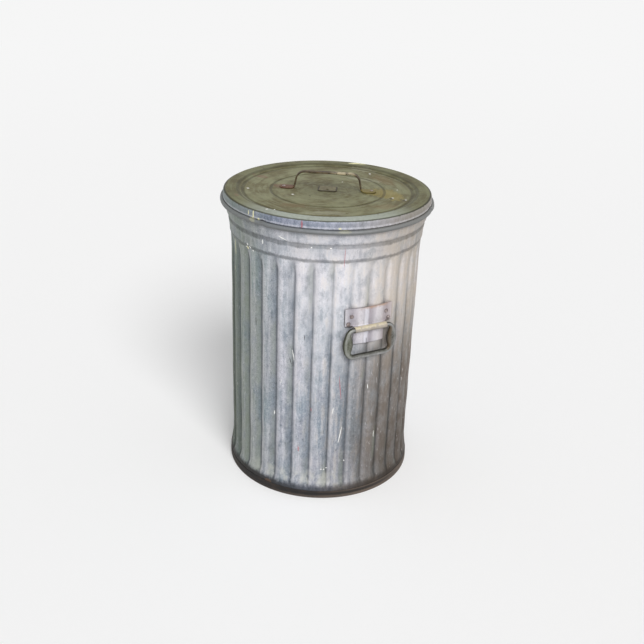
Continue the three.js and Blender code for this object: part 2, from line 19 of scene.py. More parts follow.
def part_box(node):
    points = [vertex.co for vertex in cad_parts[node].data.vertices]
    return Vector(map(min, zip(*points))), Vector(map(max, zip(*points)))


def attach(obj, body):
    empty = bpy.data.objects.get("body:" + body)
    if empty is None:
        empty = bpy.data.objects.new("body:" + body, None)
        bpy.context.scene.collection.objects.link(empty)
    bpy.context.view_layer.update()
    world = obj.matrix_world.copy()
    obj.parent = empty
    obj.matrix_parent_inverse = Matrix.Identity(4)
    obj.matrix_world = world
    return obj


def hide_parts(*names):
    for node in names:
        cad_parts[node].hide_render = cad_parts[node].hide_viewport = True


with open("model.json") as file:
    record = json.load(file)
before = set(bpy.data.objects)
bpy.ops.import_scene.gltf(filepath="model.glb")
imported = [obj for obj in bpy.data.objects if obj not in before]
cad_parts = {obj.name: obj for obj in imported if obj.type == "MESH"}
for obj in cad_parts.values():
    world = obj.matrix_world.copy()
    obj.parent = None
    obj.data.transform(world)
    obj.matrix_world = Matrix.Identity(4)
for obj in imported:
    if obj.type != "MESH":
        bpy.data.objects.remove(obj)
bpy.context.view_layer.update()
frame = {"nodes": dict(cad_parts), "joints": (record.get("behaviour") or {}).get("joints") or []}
MM = 0.001  # metres
print("nodes in the frame:", len(frame["nodes"]))


def span(node):
    """The lowest and highest corner of one node of the frame, in millimetres."""
    low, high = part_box(node)
    return np.array(low) / MM, np.array(high) / MM


# %% [markdown]
# ## The camera
#
# A camera is easiest to place by what a photographer would measure: how far round the object it stands, how
# high it looks down from, how far away it is and how wide its lens sees. The small roll and shift are those
# of the photograph, in which the can leans a little and stands a little low.

# %% Camera
VIEW_AZIMUTH = 62.2  # degrees round the can; from 0 the camera looks along +Y
VIEW_HEIGHT = 25.32  # degrees above the floor
VIEW_DISTANCE = 2.236  # metres from the target
VIEW_TARGET = (0, 0, 0.35)  # metres
VIEW_ANGLE = 38.916  # degrees across the picture
VIEW_ROLL = 2.1055  # degrees
VIEW_SHIFT = (-0.00088, 0.00551)  # shares of the picture's width
FAR_CLIP = 100  # metres


def cos_sin(degrees):
    """The cosine and the sine of an angle in degrees."""
    return math.cos(math.radians(degrees)), math.sin(math.radians(degrees))


def outward(azimuth, height):
    """The direction from the can towards a viewer: the sine and the cosine of the azimuth on the floor, both
    times the cosine of the height, and the sine of the height upward."""
    level, rise = cos_sin(height)
    forth, aside = cos_sin(azimuth)
    return Vector((aside * level, -forth * level, rise))


def added(name, data):
    """Puts a new object with this data into the scene."""
    thing = bpy.data.objects.new(name, data)
    bpy.context.scene.collection.objects.link(thing)
    return thing


def aimed(thing, azimuth, height, distance, target, roll=0.0):
    """Stands an object off from the target, looks back at the target along its own -Z, then rolls it."""
    back = outward(azimuth, height)
    thing.location = Vector(target) + back * distance
    turn = (-back).to_track_quat("-Z", "Y") @ Quaternion((0, 0, 1), math.radians(roll))
    thing.rotation_euler = turn.to_euler()
    return thing


lens = bpy.data.cameras.new("camera")
lens.sensor_fit = "HORIZONTAL"
lens.angle = math.radians(VIEW_ANGLE)
lens.shift_x, lens.shift_y = VIEW_SHIFT
lens.clip_end = FAR_CLIP
camera = aimed(added("camera", lens), VIEW_AZIMUTH, VIEW_HEIGHT, VIEW_DISTANCE, VIEW_TARGET, VIEW_ROLL)
bpy.context.scene.camera = camera
print("camera at", [round(x, 3) for x in camera.location])

# %% [markdown]
# ## From a formula to a mesh
#
# Every sheet of the can is a surface of two parameters: how far round, and how far along a profile. numpy
# works out the whole grid of points in one go, and one helper turns any such grid into a mesh: it joins
# neighbours by quads, merges the points that meet on an axis, and turns the faces outward.

# %% Grids
SMOOTH_LIMIT = 38  # degrees; sharper folds than this stay crisp
SAME_PLACE, NO_LENGTH = 1e-6, 1e-7  # metres; points this close are merged, edges this short are dropped


def quads(rows, columns, wrap_rows):
    """The corner numbers of the quads between neighbours of a grid whose points are counted row by row."""
    row = np.arange(rows if wrap_rows else rows - 1)[:, None]
    column = np.arange(columns)
    lower, upper, following = row * columns, (row + 1) % rows * columns, (column + 1) % columns
    corners = [lower + column, lower + following, upper + following, upper + column]
    return np.stack(corners, axis=-1).reshape(-1, 4)


def sheet_piece(name, grid, wrap_rows=True, marks=None):
    """One piece from a grid of points in millimetres. Each row runs round and closes on itself, and with
    wrap_rows the last row joins the first. marks holds named arrays with a value for each point."""
    mesh = bpy.data.meshes.new(name)
    faces = quads(*grid.shape[:2], wrap_rows)
    mesh.from_pydata((grid.reshape(-1, 3) * MM).tolist(), [], faces.tolist())
    for key, values in (marks or {}).items():
        attribute = mesh.attributes.new(key, "FLOAT", "POINT")
        attribute.data.foreach_set("value", values.ravel().astype(np.float32))
    return tidied(added(name, mesh))


def tidied(thing):
    """Merges doubled points, drops faces without area, turns faces outward and smooths shallow folds."""
    work = bmesh.new()
    work.from_mesh(thing.data)
    bmesh.ops.remove_doubles(work, verts=work.verts, dist=SAME_PLACE)
    bmesh.ops.dissolve_degenerate(work, edges=work.edges, dist=NO_LENGTH)
    bmesh.ops.recalc_face_normals(work, faces=work.faces)
    work.to_mesh(thing.data)
    work.free()
    thing.data.shade_smooth()
    thing.data.set_sharp_from_angle(angle=math.radians(SMOOTH_LIMIT))
    return thing


# %% [markdown]
# ## Profiles
#
# Sheet metal can't turn a sharp corner, so a profile is written as a few corners with a bending radius each,
# and a helper rounds them with true arcs. A second helper cuts long stretches up, which leaves points to
# dent, and a third runs beside a path at the sheet's thickness, which gives the way back of a section.

# %% Profiles
def unit(vector):
    """The vector divided by its length."""
    return vector / np.linalg.norm(vector)


def rounded(corners, closed=False, steps=8):
    """A path through corners of (a, b, radius). Each rounded corner is an arc that touches both its sides:
    its points are blended on the circle between the two spokes to the touching points."""
    points = np.array([corner[:2] for corner in corners], float)
    path = []
    for i, here in enumerate(points):
        radius = corners[i][2] if len(corners[i]) > 2 else 0
        if not radius or (not closed and i in (0, len(points) - 1)):
            path.append(here[None])
            continue
        back, ahead = unit(points[i - 1] - here), unit(points[(i + 1) % len(points)] - here)
        half = math.acos(np.clip(back @ ahead, -1, 1)) / 2
        centre = here + unit(back + ahead) * radius / math.sin(half)
        first = here + back * radius / math.tan(half) - centre
        last = here + ahead * radius / math.tan(half) - centre
        turn, share = math.pi - 2 * half, np.linspace(0, 1, steps + 1)[:, None]
        spokes = np.sin((1 - share) * turn) * first + np.sin(share * turn) * last
        path.append(centre + spokes / math.sin(turn))
    return np.concatenate(path)


def refined(path, longest):
    """The same path with each stretch longer than the limit cut into equal parts."""
    step = np.diff(path, axis=0)
    parts = np.maximum(np.ceil(np.linalg.norm(step, axis=1) / longest), 1).astype(int)
    share = np.concatenate([np.arange(count) / count for count in parts])[:, None]
    starts = np.repeat(path[:-1], parts, axis=0)
    return np.vstack([starts + share * np.repeat(step, parts, axis=0), path[-1:]])


def right_of(path, closed=False):
    """At each point, the unit vector that points to the right of the way the path goes."""
    around = np.concatenate([path[-1:], path, path[:1]]) if closed else path
    along = np.gradient(around, axis=0)
    along = along[1:-1] if closed else along
    along = along / np.linalg.norm(along, axis=1)[:, None]
    return np.stack([along[:, 1], -along[:, 0]], axis=1)


def beside(path, distance):
    """A path that runs beside another: each point moves to the right of the way it goes by the distance."""
    return path + distance * right_of(path)


def arc(centre, radius, first, last, count):
    """Points on a circle round a centre, between two angles in degrees."""
    angle = np.radians(np.linspace(first, last, count))
    return np.stack([centre[0] + radius * np.cos(angle), centre[1] + radius * np.sin(angle)], axis=1)


def turned(profile, azimuth, radial=0.0, lift=0.0):
    """A profile of (radius, height) carried round the Z axis: x is the radius times the azimuth's cosine and
    y times its sine. radial and lift are added to radius and height, and may differ from point to point."""
    radius = profile[:, :1] + radial
    x, y = radius * np.cos(azimuth), radius * np.sin(azimuth)
    return np.stack(np.broadcast_arrays(x, y, profile[:, 1:] + lift), axis=-1)


def all_round(columns):
    """Evenly spaced angles of one full turn, in radians."""
    return np.linspace(0, 2 * math.pi, columns, endpoint=False)


def capped(grid):
    """Closes both ends of a tube with a fan to the middle of its first and last ring."""
    first, last = (end.mean(axis=1, keepdims=True) + 0 * end for end in (grid[:1], grid[-1:]))
    return np.concatenate([first, grid, last])


SHEET = 0.9  # the thickness of the can's and the lid's sheet
SEAT = 0.3  # what stays between pieces that lie on one another

# %% [markdown]
# ## Old sheet is never true
#
# A can that has been thrown about has shallow hollows that catch the light. They are a sum of a few
# waves in azimuth and height with whole numbers of periods round the can, so that they close on
# themselves, and fixed seeds draw the same dents in every run. A single knock is a bell curve at its place.


# %% Dents
WAVES, MOST_TURNS, SHORTEST_WAVE = 14, 9, 91.0
WALL_MEAN_R = 221.0  # turns an angle round the wall into millimetres


def ripples(azimuth, height, seed):
    """A smooth random field, mostly between -1 and 1: the sum of cosines whose azimuth factor is a whole
    number, with random phases and rises, divided by the square root of their count."""
    draw = np.random.default_rng(seed)
    total = 0
    for _ in range(WAVES):
        turns, phase = draw.integers(1, MOST_TURNS), draw.uniform(0, 2 * math.pi)
        rise = draw.uniform(-1, 1) * 2 * math.pi / SHORTEST_WAVE
        total = total + np.cos(turns * azimuth + rise * height + phase)
    return total / math.sqrt(WAVES)


def bell(value, middle, width):
    """1 in the middle and less to both sides: e to the minus square of the distance over the width."""
    return np.exp(-(((value - middle) / width) ** 2))


def bearing(azimuth, middle):
    """The angle from a direction in degrees, in radians between minus half a turn and half a turn."""
    return np.angle(np.exp(1j * (azimuth - math.radians(middle))))


def hollow(azimuth, height, middle, middle_height, half_width, half_height, depth):
    """A round-edged hollow: a bell curve round the wall times a bell curve in height, times the depth."""
    across = bearing(azimuth, middle) * WALL_MEAN_R
    return depth * bell(across, 0, half_width) * bell(height, middle_height, half_height)


# %% [markdown]
# ## The fluted wall
#
# On the real can one sheet is rolled through shaped dies, which press 32 valleys into it between plain bands
# at its foot and its top. One formula gives all of it: the plain profile's radius, less the depth of a flute
# where there is one. The share of the full depth is a soft wave plus a smooth step across each flank. It
# fades out over a short run at both ends, and reaches a little further in the middle of a valley than at
# its sides, which rounds the ends.

# %% Fluted wall
FLUTES = 32
FLUTE_DEPTH = 6.0
RIDGE_FOOT_R, RIDGE_HEAD_R = 220.4, 221.4
FOOT_R = 224.3
FLANK_START, FLANK_END = 0.5, 0.97  # of half a flute, measured from the middle of the ridge
SOFT_SHARE = 0.35  # of the depth, reached by a soft wave over the whole flute
FOOT_FADE, HEAD_FADE = (28, 50), (562, 600)  # heights between which the flutes fade
FOOT_REACH, HEAD_REACH = 5, 4  # how much further they go in the middle of a valley
WALL_FOOT_Z = SHEET + SEAT
RIM_WIRE_R, RIM_RING_R, RIM_CURL_R = 2.6, 232.0, 3.1
RIM_RING_Z = span("body_wall")[1][2] - RIM_CURL_R - SHEET
WALL_CORNERS = [  # radius, height and bending radius of the outer face, from the foot to the curl
    (FOOT_R, WALL_FOOT_Z), (FOOT_R, 24, 9), (221.8, 44, 16), (RIDGE_FOOT_R, 58, 20),
    (RIDGE_HEAD_R, 601.5, 2.5), (223.9, 606.5, 2.5), (224.6, 620, 12), (226.8, 632.5, 4.5),
    (226.0, 640.5, 3), (230.6, 648.5, 4), (233.4, 663, 14), (232.0, 682, 14),
    (RIM_RING_R - RIM_CURL_R, RIM_RING_Z),
]
COLUMN_PLACES = np.array([0, 0.26, 0.45, 0.58, 0.7, 0.8, 0.9])  # from the middle of a ridge to a valley
OUTER_STEP, INNER_STEP = 10.0, 26.0  # the longest stretches between two rows of the grid
WEAR_FOOT, WEAR_HEAD = (30, 120), (560, 600)  # heights between which the damage of the wall fades
WAVE_DEPTH, WAVE_SHIFT = 0.55, 1.4  # only what the waves reach below the shift is pushed in
KNOCKS = [  # azimuth, height, half width, half height and depth of each hollow in the wall
    (-45.0, 366, 7, 10, 1.6), (-4.0, 240, 110, 6, 1.0), (-66.0, 150, 30, 26, 2.0), (150.0, 300, 42, 60, 3.0),
    (-150.0, 180, 34, 40, 2.4),
]


def flute_columns():
    """Azimuths of the grid's columns: the same uneven places in each half flute, closer on the flanks."""
    half = np.concatenate([COLUMN_PLACES, 2 - np.append(COLUMN_PLACES[1:], 1)[::-1]])
    pitch = 2 * math.pi / FLUTES
    return ((np.arange(FLUTES)[:, None] + (half + 1) / 2) * pitch).ravel()


def smooth_step(value, low, high):
    """0 up to low and 1 from high on, with the curve 3 t squared less 2 t cubed between them."""
    share = np.clip((value - low) / (high - low), 0, 1)
    return share * share * (3 - 2 * share)


def flute_phase(azimuth):
    """The signed distance from a valley's middle in flutes, and the share of half a flute from the ridge."""
    turn = azimuth * FLUTES / (2 * math.pi)
    from_valley = turn - np.round(turn)
    return from_valley, 1 - 2 * np.abs(from_valley)


def flute_share(azimuth, height):
    """How deep the wall is pressed in, as a share of the full depth: a wave from ridge to valley plus a
    steeper flank, both fading out at the flute's ends. A valley lies on the X axis."""
    from_ridge = flute_phase(azimuth)[1]
    across = SOFT_SHARE * np.sin(from_ridge * math.pi / 2) ** 2
    across = across + (1 - SOFT_SHARE) * smooth_step(from_ridge, FLANK_START, FLANK_END)
    foot = smooth_step(height + FOOT_REACH * from_ridge, *FOOT_FADE)
    head = 1 - smooth_step(height - HEAD_REACH * from_ridge, *HEAD_FADE)
    return across * foot * head


def wall_wear(azimuth, height):
    """Radial damage of the wall: it is only ever pushed in, and the rim and the foot keep their circle."""
    free = smooth_step(height, *WEAR_FOOT) * (1 - smooth_step(height, *WEAR_HEAD))
    waves = WAVE_DEPTH * (ripples(azimuth, height, 4) - WAVE_SHIFT)
    knocks = sum(hollow(azimuth, height, *knock) for knock in KNOCKS)
    return (np.minimum(waves, 0) - knocks) * free


def wall_grid():
    """The outer face up to the curl, round the wire, back down the inner face and across the cut foot. The
    marks are for the finish. valley is how deep a place is pressed in, and crease its fold. One mark holds
    the flank on one side of the fold, for painted shade, and lit the flank on its other side, for a painted
    highlight. arch is the flute's head, for painted shadow, and inside the back."""
    ring = (RIM_RING_R, RIM_RING_Z)
    outer = refined(rounded(WALL_CORNERS, steps=5), OUTER_STEP)
    curl = arc(ring, RIM_CURL_R, 170, -50, 13)
    curl_back = arc(ring, RIM_CURL_R + SHEET, -50, 180, 15)
    inner_corners = [(r - SHEET, z, *bend) for r, z, *bend in WALL_CORNERS[:-1]]
    inner = refined(rounded(inner_corners, steps=3), INNER_STEP)[::-1]
    profile = np.concatenate([outer, curl, curl_back, inner])
    row = np.arange(len(profile))[:, None]
    last_curl = len(outer) + len(curl) + len(curl_back)
    on_sheet = (row < len(outer)) | (row >= last_curl)
    azimuth, height = flute_columns(), profile[:, 1:]
    from_valley, from_ridge = flute_phase(azimuth)
    share = flute_share(azimuth, height) * on_sheet
    marks = {
        "valley": share,
        "crease": bell(from_valley, 0.015, 0.05) * np.minimum(share * 2, 1),
        "shaded_flank": (from_valley < 0) * smooth_step(from_ridge, 0, 0.75) * np.minimum(share * 12, 1),
        "lit": (from_valley > 0) * bell(from_ridge, 0.68, 0.2) * np.minimum(share * 4, 1),
        "arch": smooth_step(from_ridge, 0.2, 0.8) * bell(height, 598, 5),
        "inside": (row >= last_curl) * np.ones_like(share),
    }
    pushed = wall_wear(azimuth, height) * on_sheet - FLUTE_DEPTH * share
    return turned(profile, azimuth, pushed), marks


wall_points, wall_marks = wall_grid()
wall = sheet_piece("fluted_wall", wall_points, marks=wall_marks)
print("wall faces:", len(wall.data.polygons))

# %% [markdown]
# The wall's ends meet in a folded lock seam that runs up one valley at the back. It is a flat strip that
# stands a little proud of the valley floor, carried up the same taper, with its edges rounded off.

# %% Lock seam
SEAM_WIDTH, SEAM_RISE = 9.0, 1.1
SEAM_LOW, SEAM_HIGH, SEAM_ROWS = 54, 589, 60
SEAM_AZIMUTH = 90.0


def ridge_radius(height, low, high):
    """The ridges' straight taper, from its first radius at the lower height to its last at the upper one."""
    return np.interp(height, [low, high], [RIDGE_FOOT_R, RIDGE_HEAD_R])


def seam_grid():
    """A rounded flat section, carried up the valley on +Y at the radius of its floor."""
    section = rounded([(-1, -1, 0.3), (1, -1, 0.5), (1, 1, 0.5), (-1, 1, 0.3)], closed=True, steps=3)
    section = section * np.array([SEAM_WIDTH / 2, (SEAM_RISE + SHEET) / 2])
    height = np.linspace(SEAM_LOW, SEAM_HIGH, SEAM_ROWS)
    floor = ridge_radius(height, 58, 601) - FLUTE_DEPTH + wall_wear(np.radians(SEAM_AZIMUTH), height)
    x = np.broadcast_to(-section[:, 0], (len(height), len(section)))
    y = floor[:, None] + (SEAM_RISE - SHEET) / 2 + section[:, 1]
    return capped(np.stack([x, y, np.broadcast_to(height[:, None], x.shape)], axis=-1))


seam = sheet_piece("lock_seam", seam_grid(), wrap_rows=False)
print("seam height:", round(seam.dimensions.z, 3))

# %% [markdown]
# ## The base
#
# The can stands on a hemmed hoop: a channel that grips the lower edges of the wall and of the dished bottom.
# Both are turned profiles. The bead at its foot is what leaves the thin lighter line under the dark band.

# %% Hoop and bottom
HOOP_R = span("base_hoop")[1][0]
HOOP_HEIGHT, BEAD_HEIGHT, BEAD_RISE = 19.0, 5.5, 0.6
HOOP_LEG_R = HOOP_R - BEAD_RISE
PAN_R = FOOT_R - SHEET - SEAT
HOOP_INNER_R, HOOP_INNER_HEIGHT = PAN_R - SHEET - SEAT, 8
PAN_Z, PAN_CROWN, PAN_STEP = 23.0, 2.0, 14
PAN_SAG, SAG_NEAR, SAG_FAR = 0.5, 60, 200  # the waves of the bottom fade out between these radii
HOOP_COLUMNS, PAN_COLUMNS = 384, 240


def hoop_profile():
    """The channel's closed section: up the outside over the bead, over the lip and down into the channel."""
    return rounded([
        (HOOP_INNER_R - SHEET, 0, 0.8), (HOOP_R, 0, 1.3), (HOOP_R, BEAD_HEIGHT, 1.2),
        (HOOP_LEG_R, BEAD_HEIGHT + 1.4, 1.0), (HOOP_LEG_R, HOOP_HEIGHT, 0.4),
        (HOOP_LEG_R - SHEET, HOOP_HEIGHT, 0.4), (HOOP_LEG_R - SHEET, SHEET, 0.3), (HOOP_INNER_R, SHEET, 0.3),
        (HOOP_INNER_R, HOOP_INNER_HEIGHT, 0.4), (HOOP_INNER_R - SHEET, HOOP_INNER_HEIGHT, 0.4),
    ], closed=True, steps=3)


def pan_profile():
    """The dished disc from its middle to its turned-down rim, and back underneath."""
    crown = PAN_Z + PAN_CROWN
    top = rounded([(0, crown), (100, crown, 30), (112, PAN_Z, 30), (PAN_R, PAN_Z, 5), (PAN_R, WALL_FOOT_Z)])
    return np.concatenate([refined(top, PAN_STEP), refined(beside(top, SHEET)[::-1], PAN_STEP)])


def pan_grid():
    """The bottom's profile carried round, with a few random waves that leave its middle and rim level."""
    profile = pan_profile()
    profile[[0, -1], 0] = 0
    azimuth, radius = all_round(PAN_COLUMNS), profile[:, :1]
    fade = (1 - smooth_step(radius, SAG_NEAR, SAG_FAR)) * (radius > 30)
    return turned(profile, azimuth, lift=PAN_SAG * ripples(azimuth, radius * 2, 8) * fade)


hoop = sheet_piece("foot_hoop", turned(hoop_profile(), all_round(HOOP_COLUMNS)))
pan = sheet_piece("dished_bottom", pan_grid(), wrap_rows=False)
print("hoop and bottom faces:", len(hoop.data.polygons), len(pan.data.polygons))

# %% [markdown]
# ## The lid
#
# The lid is pressed from one sheet too: a nearly flat panel with two shallow grooves, a raised shoulder, a
# skirt that drops over the rim, and an edge rolled outward round a stiffening wire. Knocks at the edge have
# bent the roll up and down and pushed it in at one place, so the roll's part of the profile is lifted,
# lowered or pushed in there.

# %% Lid pan
LID_TURN = 57.7  # degrees by which the lid's handle is turned from the X axis
LID_TOP = 700.0
PANEL_Z = LID_TOP - 4.5
SKIRT_R = 238.4
LID_WIRE_R, LID_CURL_R, LID_RING_Z = 3.6, 4.1, LID_TOP - 24
LID_OUTER_R = (span("lid_pan")[1] - span("lid_pan")[0])[:2].min() / 2
LID_RING_R = LID_OUTER_R - LID_CURL_R - SHEET
INNER_GROOVE_R, OUTER_GROOVE_R = 130.2, 194.7
SHOULDER_EDGE_R = 235.0
LID_STEP, LID_COLUMNS = 8, 384
PANEL_WAVE, ROLL_WAVE = 0.4, 0.4  # depth of the random waves in the panel and along the roll
ROLL_FADE = (680, 692)  # below the lower height the whole bend is felt, above the upper one nothing
LID_BENDS = [  # azimuth, spread in radians and rise of each place where the roll is bent
    (-14, 0.3, -2.0), (52, 0.1, -1.5), (46, 0.05, 2.2), (-62, 0.035, 1.0),
]
DINT_AZIMUTH, DINT_SPREAD, DINT_DEPTH = -62, 0.035, 1.6  # where a knock has pushed the roll in
LID_CORNERS = [  # radius, height and bending radius of the upper face, from the middle to the roll
    (0, PANEL_Z + 0.5), (60, PANEL_Z + 0.4, 40), (INNER_GROOVE_R - 4, PANEL_Z, 2),
    (INNER_GROOVE_R, PANEL_Z - 1.8, 2.2), (INNER_GROOVE_R + 4, PANEL_Z, 2),
    (OUTER_GROOVE_R - 5, PANEL_Z, 3), (OUTER_GROOVE_R, PANEL_Z - 1.9, 2.4), (205.5, LID_TOP - 0.8, 3.5),
    (212, LID_TOP, 8), (232.6, LID_TOP, 1.6), (SHOULDER_EDGE_R, LID_TOP - 2.2, 1.2),
    (237.4, LID_TOP - 2.6, 1.4), (SKIRT_R, LID_TOP - 6, 3), (SKIRT_R, LID_TOP - 13, 5),
    (239.3, LID_TOP - 17, 1.2), (LID_RING_R - LID_CURL_R, LID_RING_Z),
]


def lid_wave(azimuth):
    """How far the roll has been bent up or down round the lid, in millimetres: a few gentle waves, plus a
    bell curve of the azimuth for each bend."""
    bends = sum(rise * bell(bearing(azimuth, middle), 0, spread) for middle, spread, rise in LID_BENDS)
    return ROLL_WAVE * ripples(azimuth, 0 * azimuth, 33) + bends


def lid_grid():
    """The upper face out to the roll, round the wire, back under the sheet to the middle. The mark tells
    the finish which rows lie underneath."""
    top = rounded(LID_CORNERS, steps=5)
    curl = arc((LID_RING_R, LID_RING_Z), LID_CURL_R, 190, 460, 20)
    path = np.concatenate([refined(top, LID_STEP), curl])
    profile = np.concatenate([path, beside(path, SHEET)[::-1]])
    profile[[0, -1], 0] = 0
    azimuth = all_round(LID_COLUMNS)
    radius, height = profile[:, :1], profile[:, 1:]
    inner = (1 - smooth_step(radius, 150, 225)) * smooth_step(radius, 5, 60)
    panel = PANEL_WAVE * inner * (ripples(azimuth, radius * 1.5, 21) - 1)
    rolled = 1 - smooth_step(height, *ROLL_FADE)
    dint = -DINT_DEPTH * rolled * bell(bearing(azimuth, DINT_AZIMUTH), 0, DINT_SPREAD)
    grid = turned(profile, azimuth, dint, panel + rolled * lid_wave(azimuth))
    return grid, {"under": (np.arange(len(profile))[:, None] >= len(path)) * np.ones(len(azimuth))}


lid_points, lid_marks = lid_grid()
lid = sheet_piece("lid_sheet", lid_points, wrap_rows=False, marks=lid_marks)
print("lid faces:", len(lid.data.polygons), "width:", round(lid.dimensions.x, 4))

# %% [markdown]
# Inside each roll lies a wire, which shows only as a dark line where the roll stays open. A wire ring is a
# small circle carried round the axis.


# %% Wires
WIRE_COLUMNS = 256
WIRE_ROOM = 0.2  # by which the lid's wire is thinner, because its roll is uneven


def wire_ring(name, ring_radius, height, wire_radius, wave=0.0):
    """A torus: the angle round the wire and the azimuth are its two parameters. It rises by the wave."""
    section = arc((ring_radius, height), wire_radius, 0, 360, 17)[:-1]
    return sheet_piece(name, turned(section, all_round(WIRE_COLUMNS), lift=wave))


rim_wire = wire_ring("rim_wire_ring", RIM_RING_R, RIM_RING_Z, RIM_WIRE_R)
lid_bend = lid_wave(all_round(WIRE_COLUMNS))
lid_wire = wire_ring("lid_wire_ring", LID_RING_R, LID_RING_Z, LID_WIRE_R - WIRE_ROOM, lid_bend)
print("wires:", rim_wire.name, lid_wire.name)

# %% [markdown]
# ## Strips that follow a path
#
# The lid's handle is a flat strap bent up between two feet, and the side handles are pressed loops. Both
# are a section carried along a path: at each point of the path the section lies across the way the path
# goes, and its half width and half thickness may change from point to point.


# %% Swept sections
def rounded_section(count, power):
    """Points round a squarish oval between -1 and 1: cosine and sine, each raised to a power under one."""
    angle = all_round(count)
    wave = np.stack([np.cos(angle), np.sin(angle)], axis=1)
    return np.sign(wave) * np.abs(wave) ** power


def swept(path, section, width, thickness):
    """A grid from a flat path of (a, b) points. In the path's plane the section reaches out by thickness,
    and square to that plane by width. The result has a, the distance from the plane, and b."""
    offset = section[None, :, 1] * thickness[:, None]
    plane = path[:, None, :] - right_of(path)[:, None, :] * offset[..., None]
    across = section[None, :, 0] * width[:, None]
    return np.stack([plane[..., 0], across, plane[..., 1]], axis=-1)


def placed(grid, turn, offset=(0, 0, 0)):
    """Moves a grid of points and then turns it round the Z axis by degrees."""
    x, y, z = np.moveaxis(grid + np.array(offset, float), -1, 0)
    c, s = cos_sin(turn)
    return np.stack([x * c - y * s, x * s + y * c, z], axis=-1)


# %% [markdown]
# ## The lid's handle and plate
#
# The strap leaves each foot, leans in a little and turns over into a level grip. Its feet are hammered out
# flat and wide, with round ends and a rivet each.

# %% Lid handle
STRAP_HALF, STRAP_THICK, STRAP_STEP = 7.0, 3.6, 1.5
GRIP_RISE = span("lid_handle")[1][2] - PANEL_Z - SEAT - STRAP_THICK / 2
GRIP_HALF, LEG_HALF = 69.5, 77.0
FOOT_LENGTH, FOOT_HALF, FOOT_THICK, FOOT_ROUND = 34.0, 12.5, 2.4, 10


def lid_handle_grid():
    """A flat section along the bent strap. Over each foot the width swells to the foot's round outline,
    and the thickness falls to that of the foot while its underside stays level."""
    low = FOOT_THICK / 2
    tip = LEG_HALF + FOOT_LENGTH
    path = refined(rounded([
        (-tip, low), (-LEG_HALF, low, 6), (-GRIP_HALF, GRIP_RISE, 20),
        (GRIP_HALF, GRIP_RISE, 20), (LEG_HALF, low, 6), (tip, low),
    ], steps=10), STRAP_STEP)
    level = path[:, 1] < low + 0.4
    from_tip = tip - np.abs(path[:, 0])
    round_end = np.sqrt(np.clip(1 - np.clip(1 - from_tip / FOOT_ROUND, 0, 1) ** 2, 0.02, 1))
    neck = smooth_step(np.abs(path[:, 0]), LEG_HALF - 5, LEG_HALF + 6)
    width = np.where(level, STRAP_HALF + (FOOT_HALF * round_end - STRAP_HALF) * neck, STRAP_HALF)
    worn = 1 + 0.02 * np.sin(path[:, 0] / 7.0)
    thickness = np.where(level, FOOT_THICK, STRAP_THICK) / 2 * worn
    thickness = np.convolve(np.pad(thickness, 4, mode="edge"), np.ones(9) / 9, mode="valid")
    return capped(swept(path, rounded_section(20, 0.42), width, thickness))


strap_points = placed(lid_handle_grid(), LID_TURN, (0, 0, PANEL_Z + SEAT))
lid_handle = sheet_piece("lid_grip", strap_points, wrap_rows=False)
print("lid handle faces:", len(lid_handle.data.polygons))

# %% [markdown]
# The small square plate in the middle has one punched hole. Its faces are rings that open out from the
# hole's circle to the square outline, so the grid runs round the hole and from the hole to the edge.

# %% Centre plate
PLATE_HALF_X, PLATE_HALF_Y = 22.0, 20.0
PLATE_HOLE_R, PLATE_HOLE_Y = 3.5, -10.0


def centre_plate_grid():
    """Blends from the hole's circle to a squarish oval, up over both rounded rims and back underneath."""
    count = 96
    outline = rounded_section(count, 0.28) * np.array([PLATE_HALF_X, PLATE_HALF_Y])
    hole = arc((0, PLATE_HOLE_Y), PLATE_HOLE_R, 0, 360, count + 1)[:-1]
    share = np.array([0, 0.04, 0.12, 0.35, 0.65, 0.9, 0.975, 1, 1, 0.975, 0.9, 0.65, 0.35, 0.12, 0.04, 0])
    height = np.array([1.25, 1.5, 1.6, 1.6, 1.6, 1.6, 1.5, 1.25, 0.3, 0.06, 0, 0, 0, 0, 0.06, 0.3])
    flat = hole + (outline - hole) * share[:, None, None]
    return np.concatenate([flat, np.broadcast_to(height[:, None, None], (*flat.shape[:2], 1))], axis=-1)


plate_foot = span("lid_centre_plate")[0][2]
plate = sheet_piece("lid_plate", placed(centre_plate_grid(), LID_TURN, (0, 0, plate_foot)))
print("plate:", [round(x, 4) for x in plate.dimensions])

# %% [markdown]
# ## The brackets
#
# Each side bracket is one pressing that bends round the wall. From its top edge it runs down flat, bulges
# out over the handle's bar, and ends in a short flange. Above the barrel it is wider than the barrel, which
# leaves two square lower corners. As a surface it is simple: a section in radius and height, carried
# sideways, whose half width depends on how far down the section it is. A second skin one sheet's thickness
# inside closes it.

# %% Brackets
PIVOT = np.array(frame["joints"][1]["pos_m"]) / MM
BAR_R, BAR_ROOM = 5.0, 0.5  # the drop handle's bar, and what stays free round it
BRACKET_SHEET, BRACKET_STEP = 1.3, 2.0
BRACKET_LOW, BRACKET_HIGH = (corner[2] for corner in span("handle_bracket_right"))
BRACKET_R = ridge_radius(BRACKET_HIGH, 48, 595) + SEAT
PLATE_HALF, BARREL_HALF, FLANGE_HALF = 60.0, 40.0, 38.0
CORNER_R = 2.5
BARREL_MID = BAR_R + BAR_ROOM + BRACKET_SHEET / 2
BARREL_BEND = 2.2
VALLEY_SINK = 0.9  # how far the plate is drawn into each valley behind it


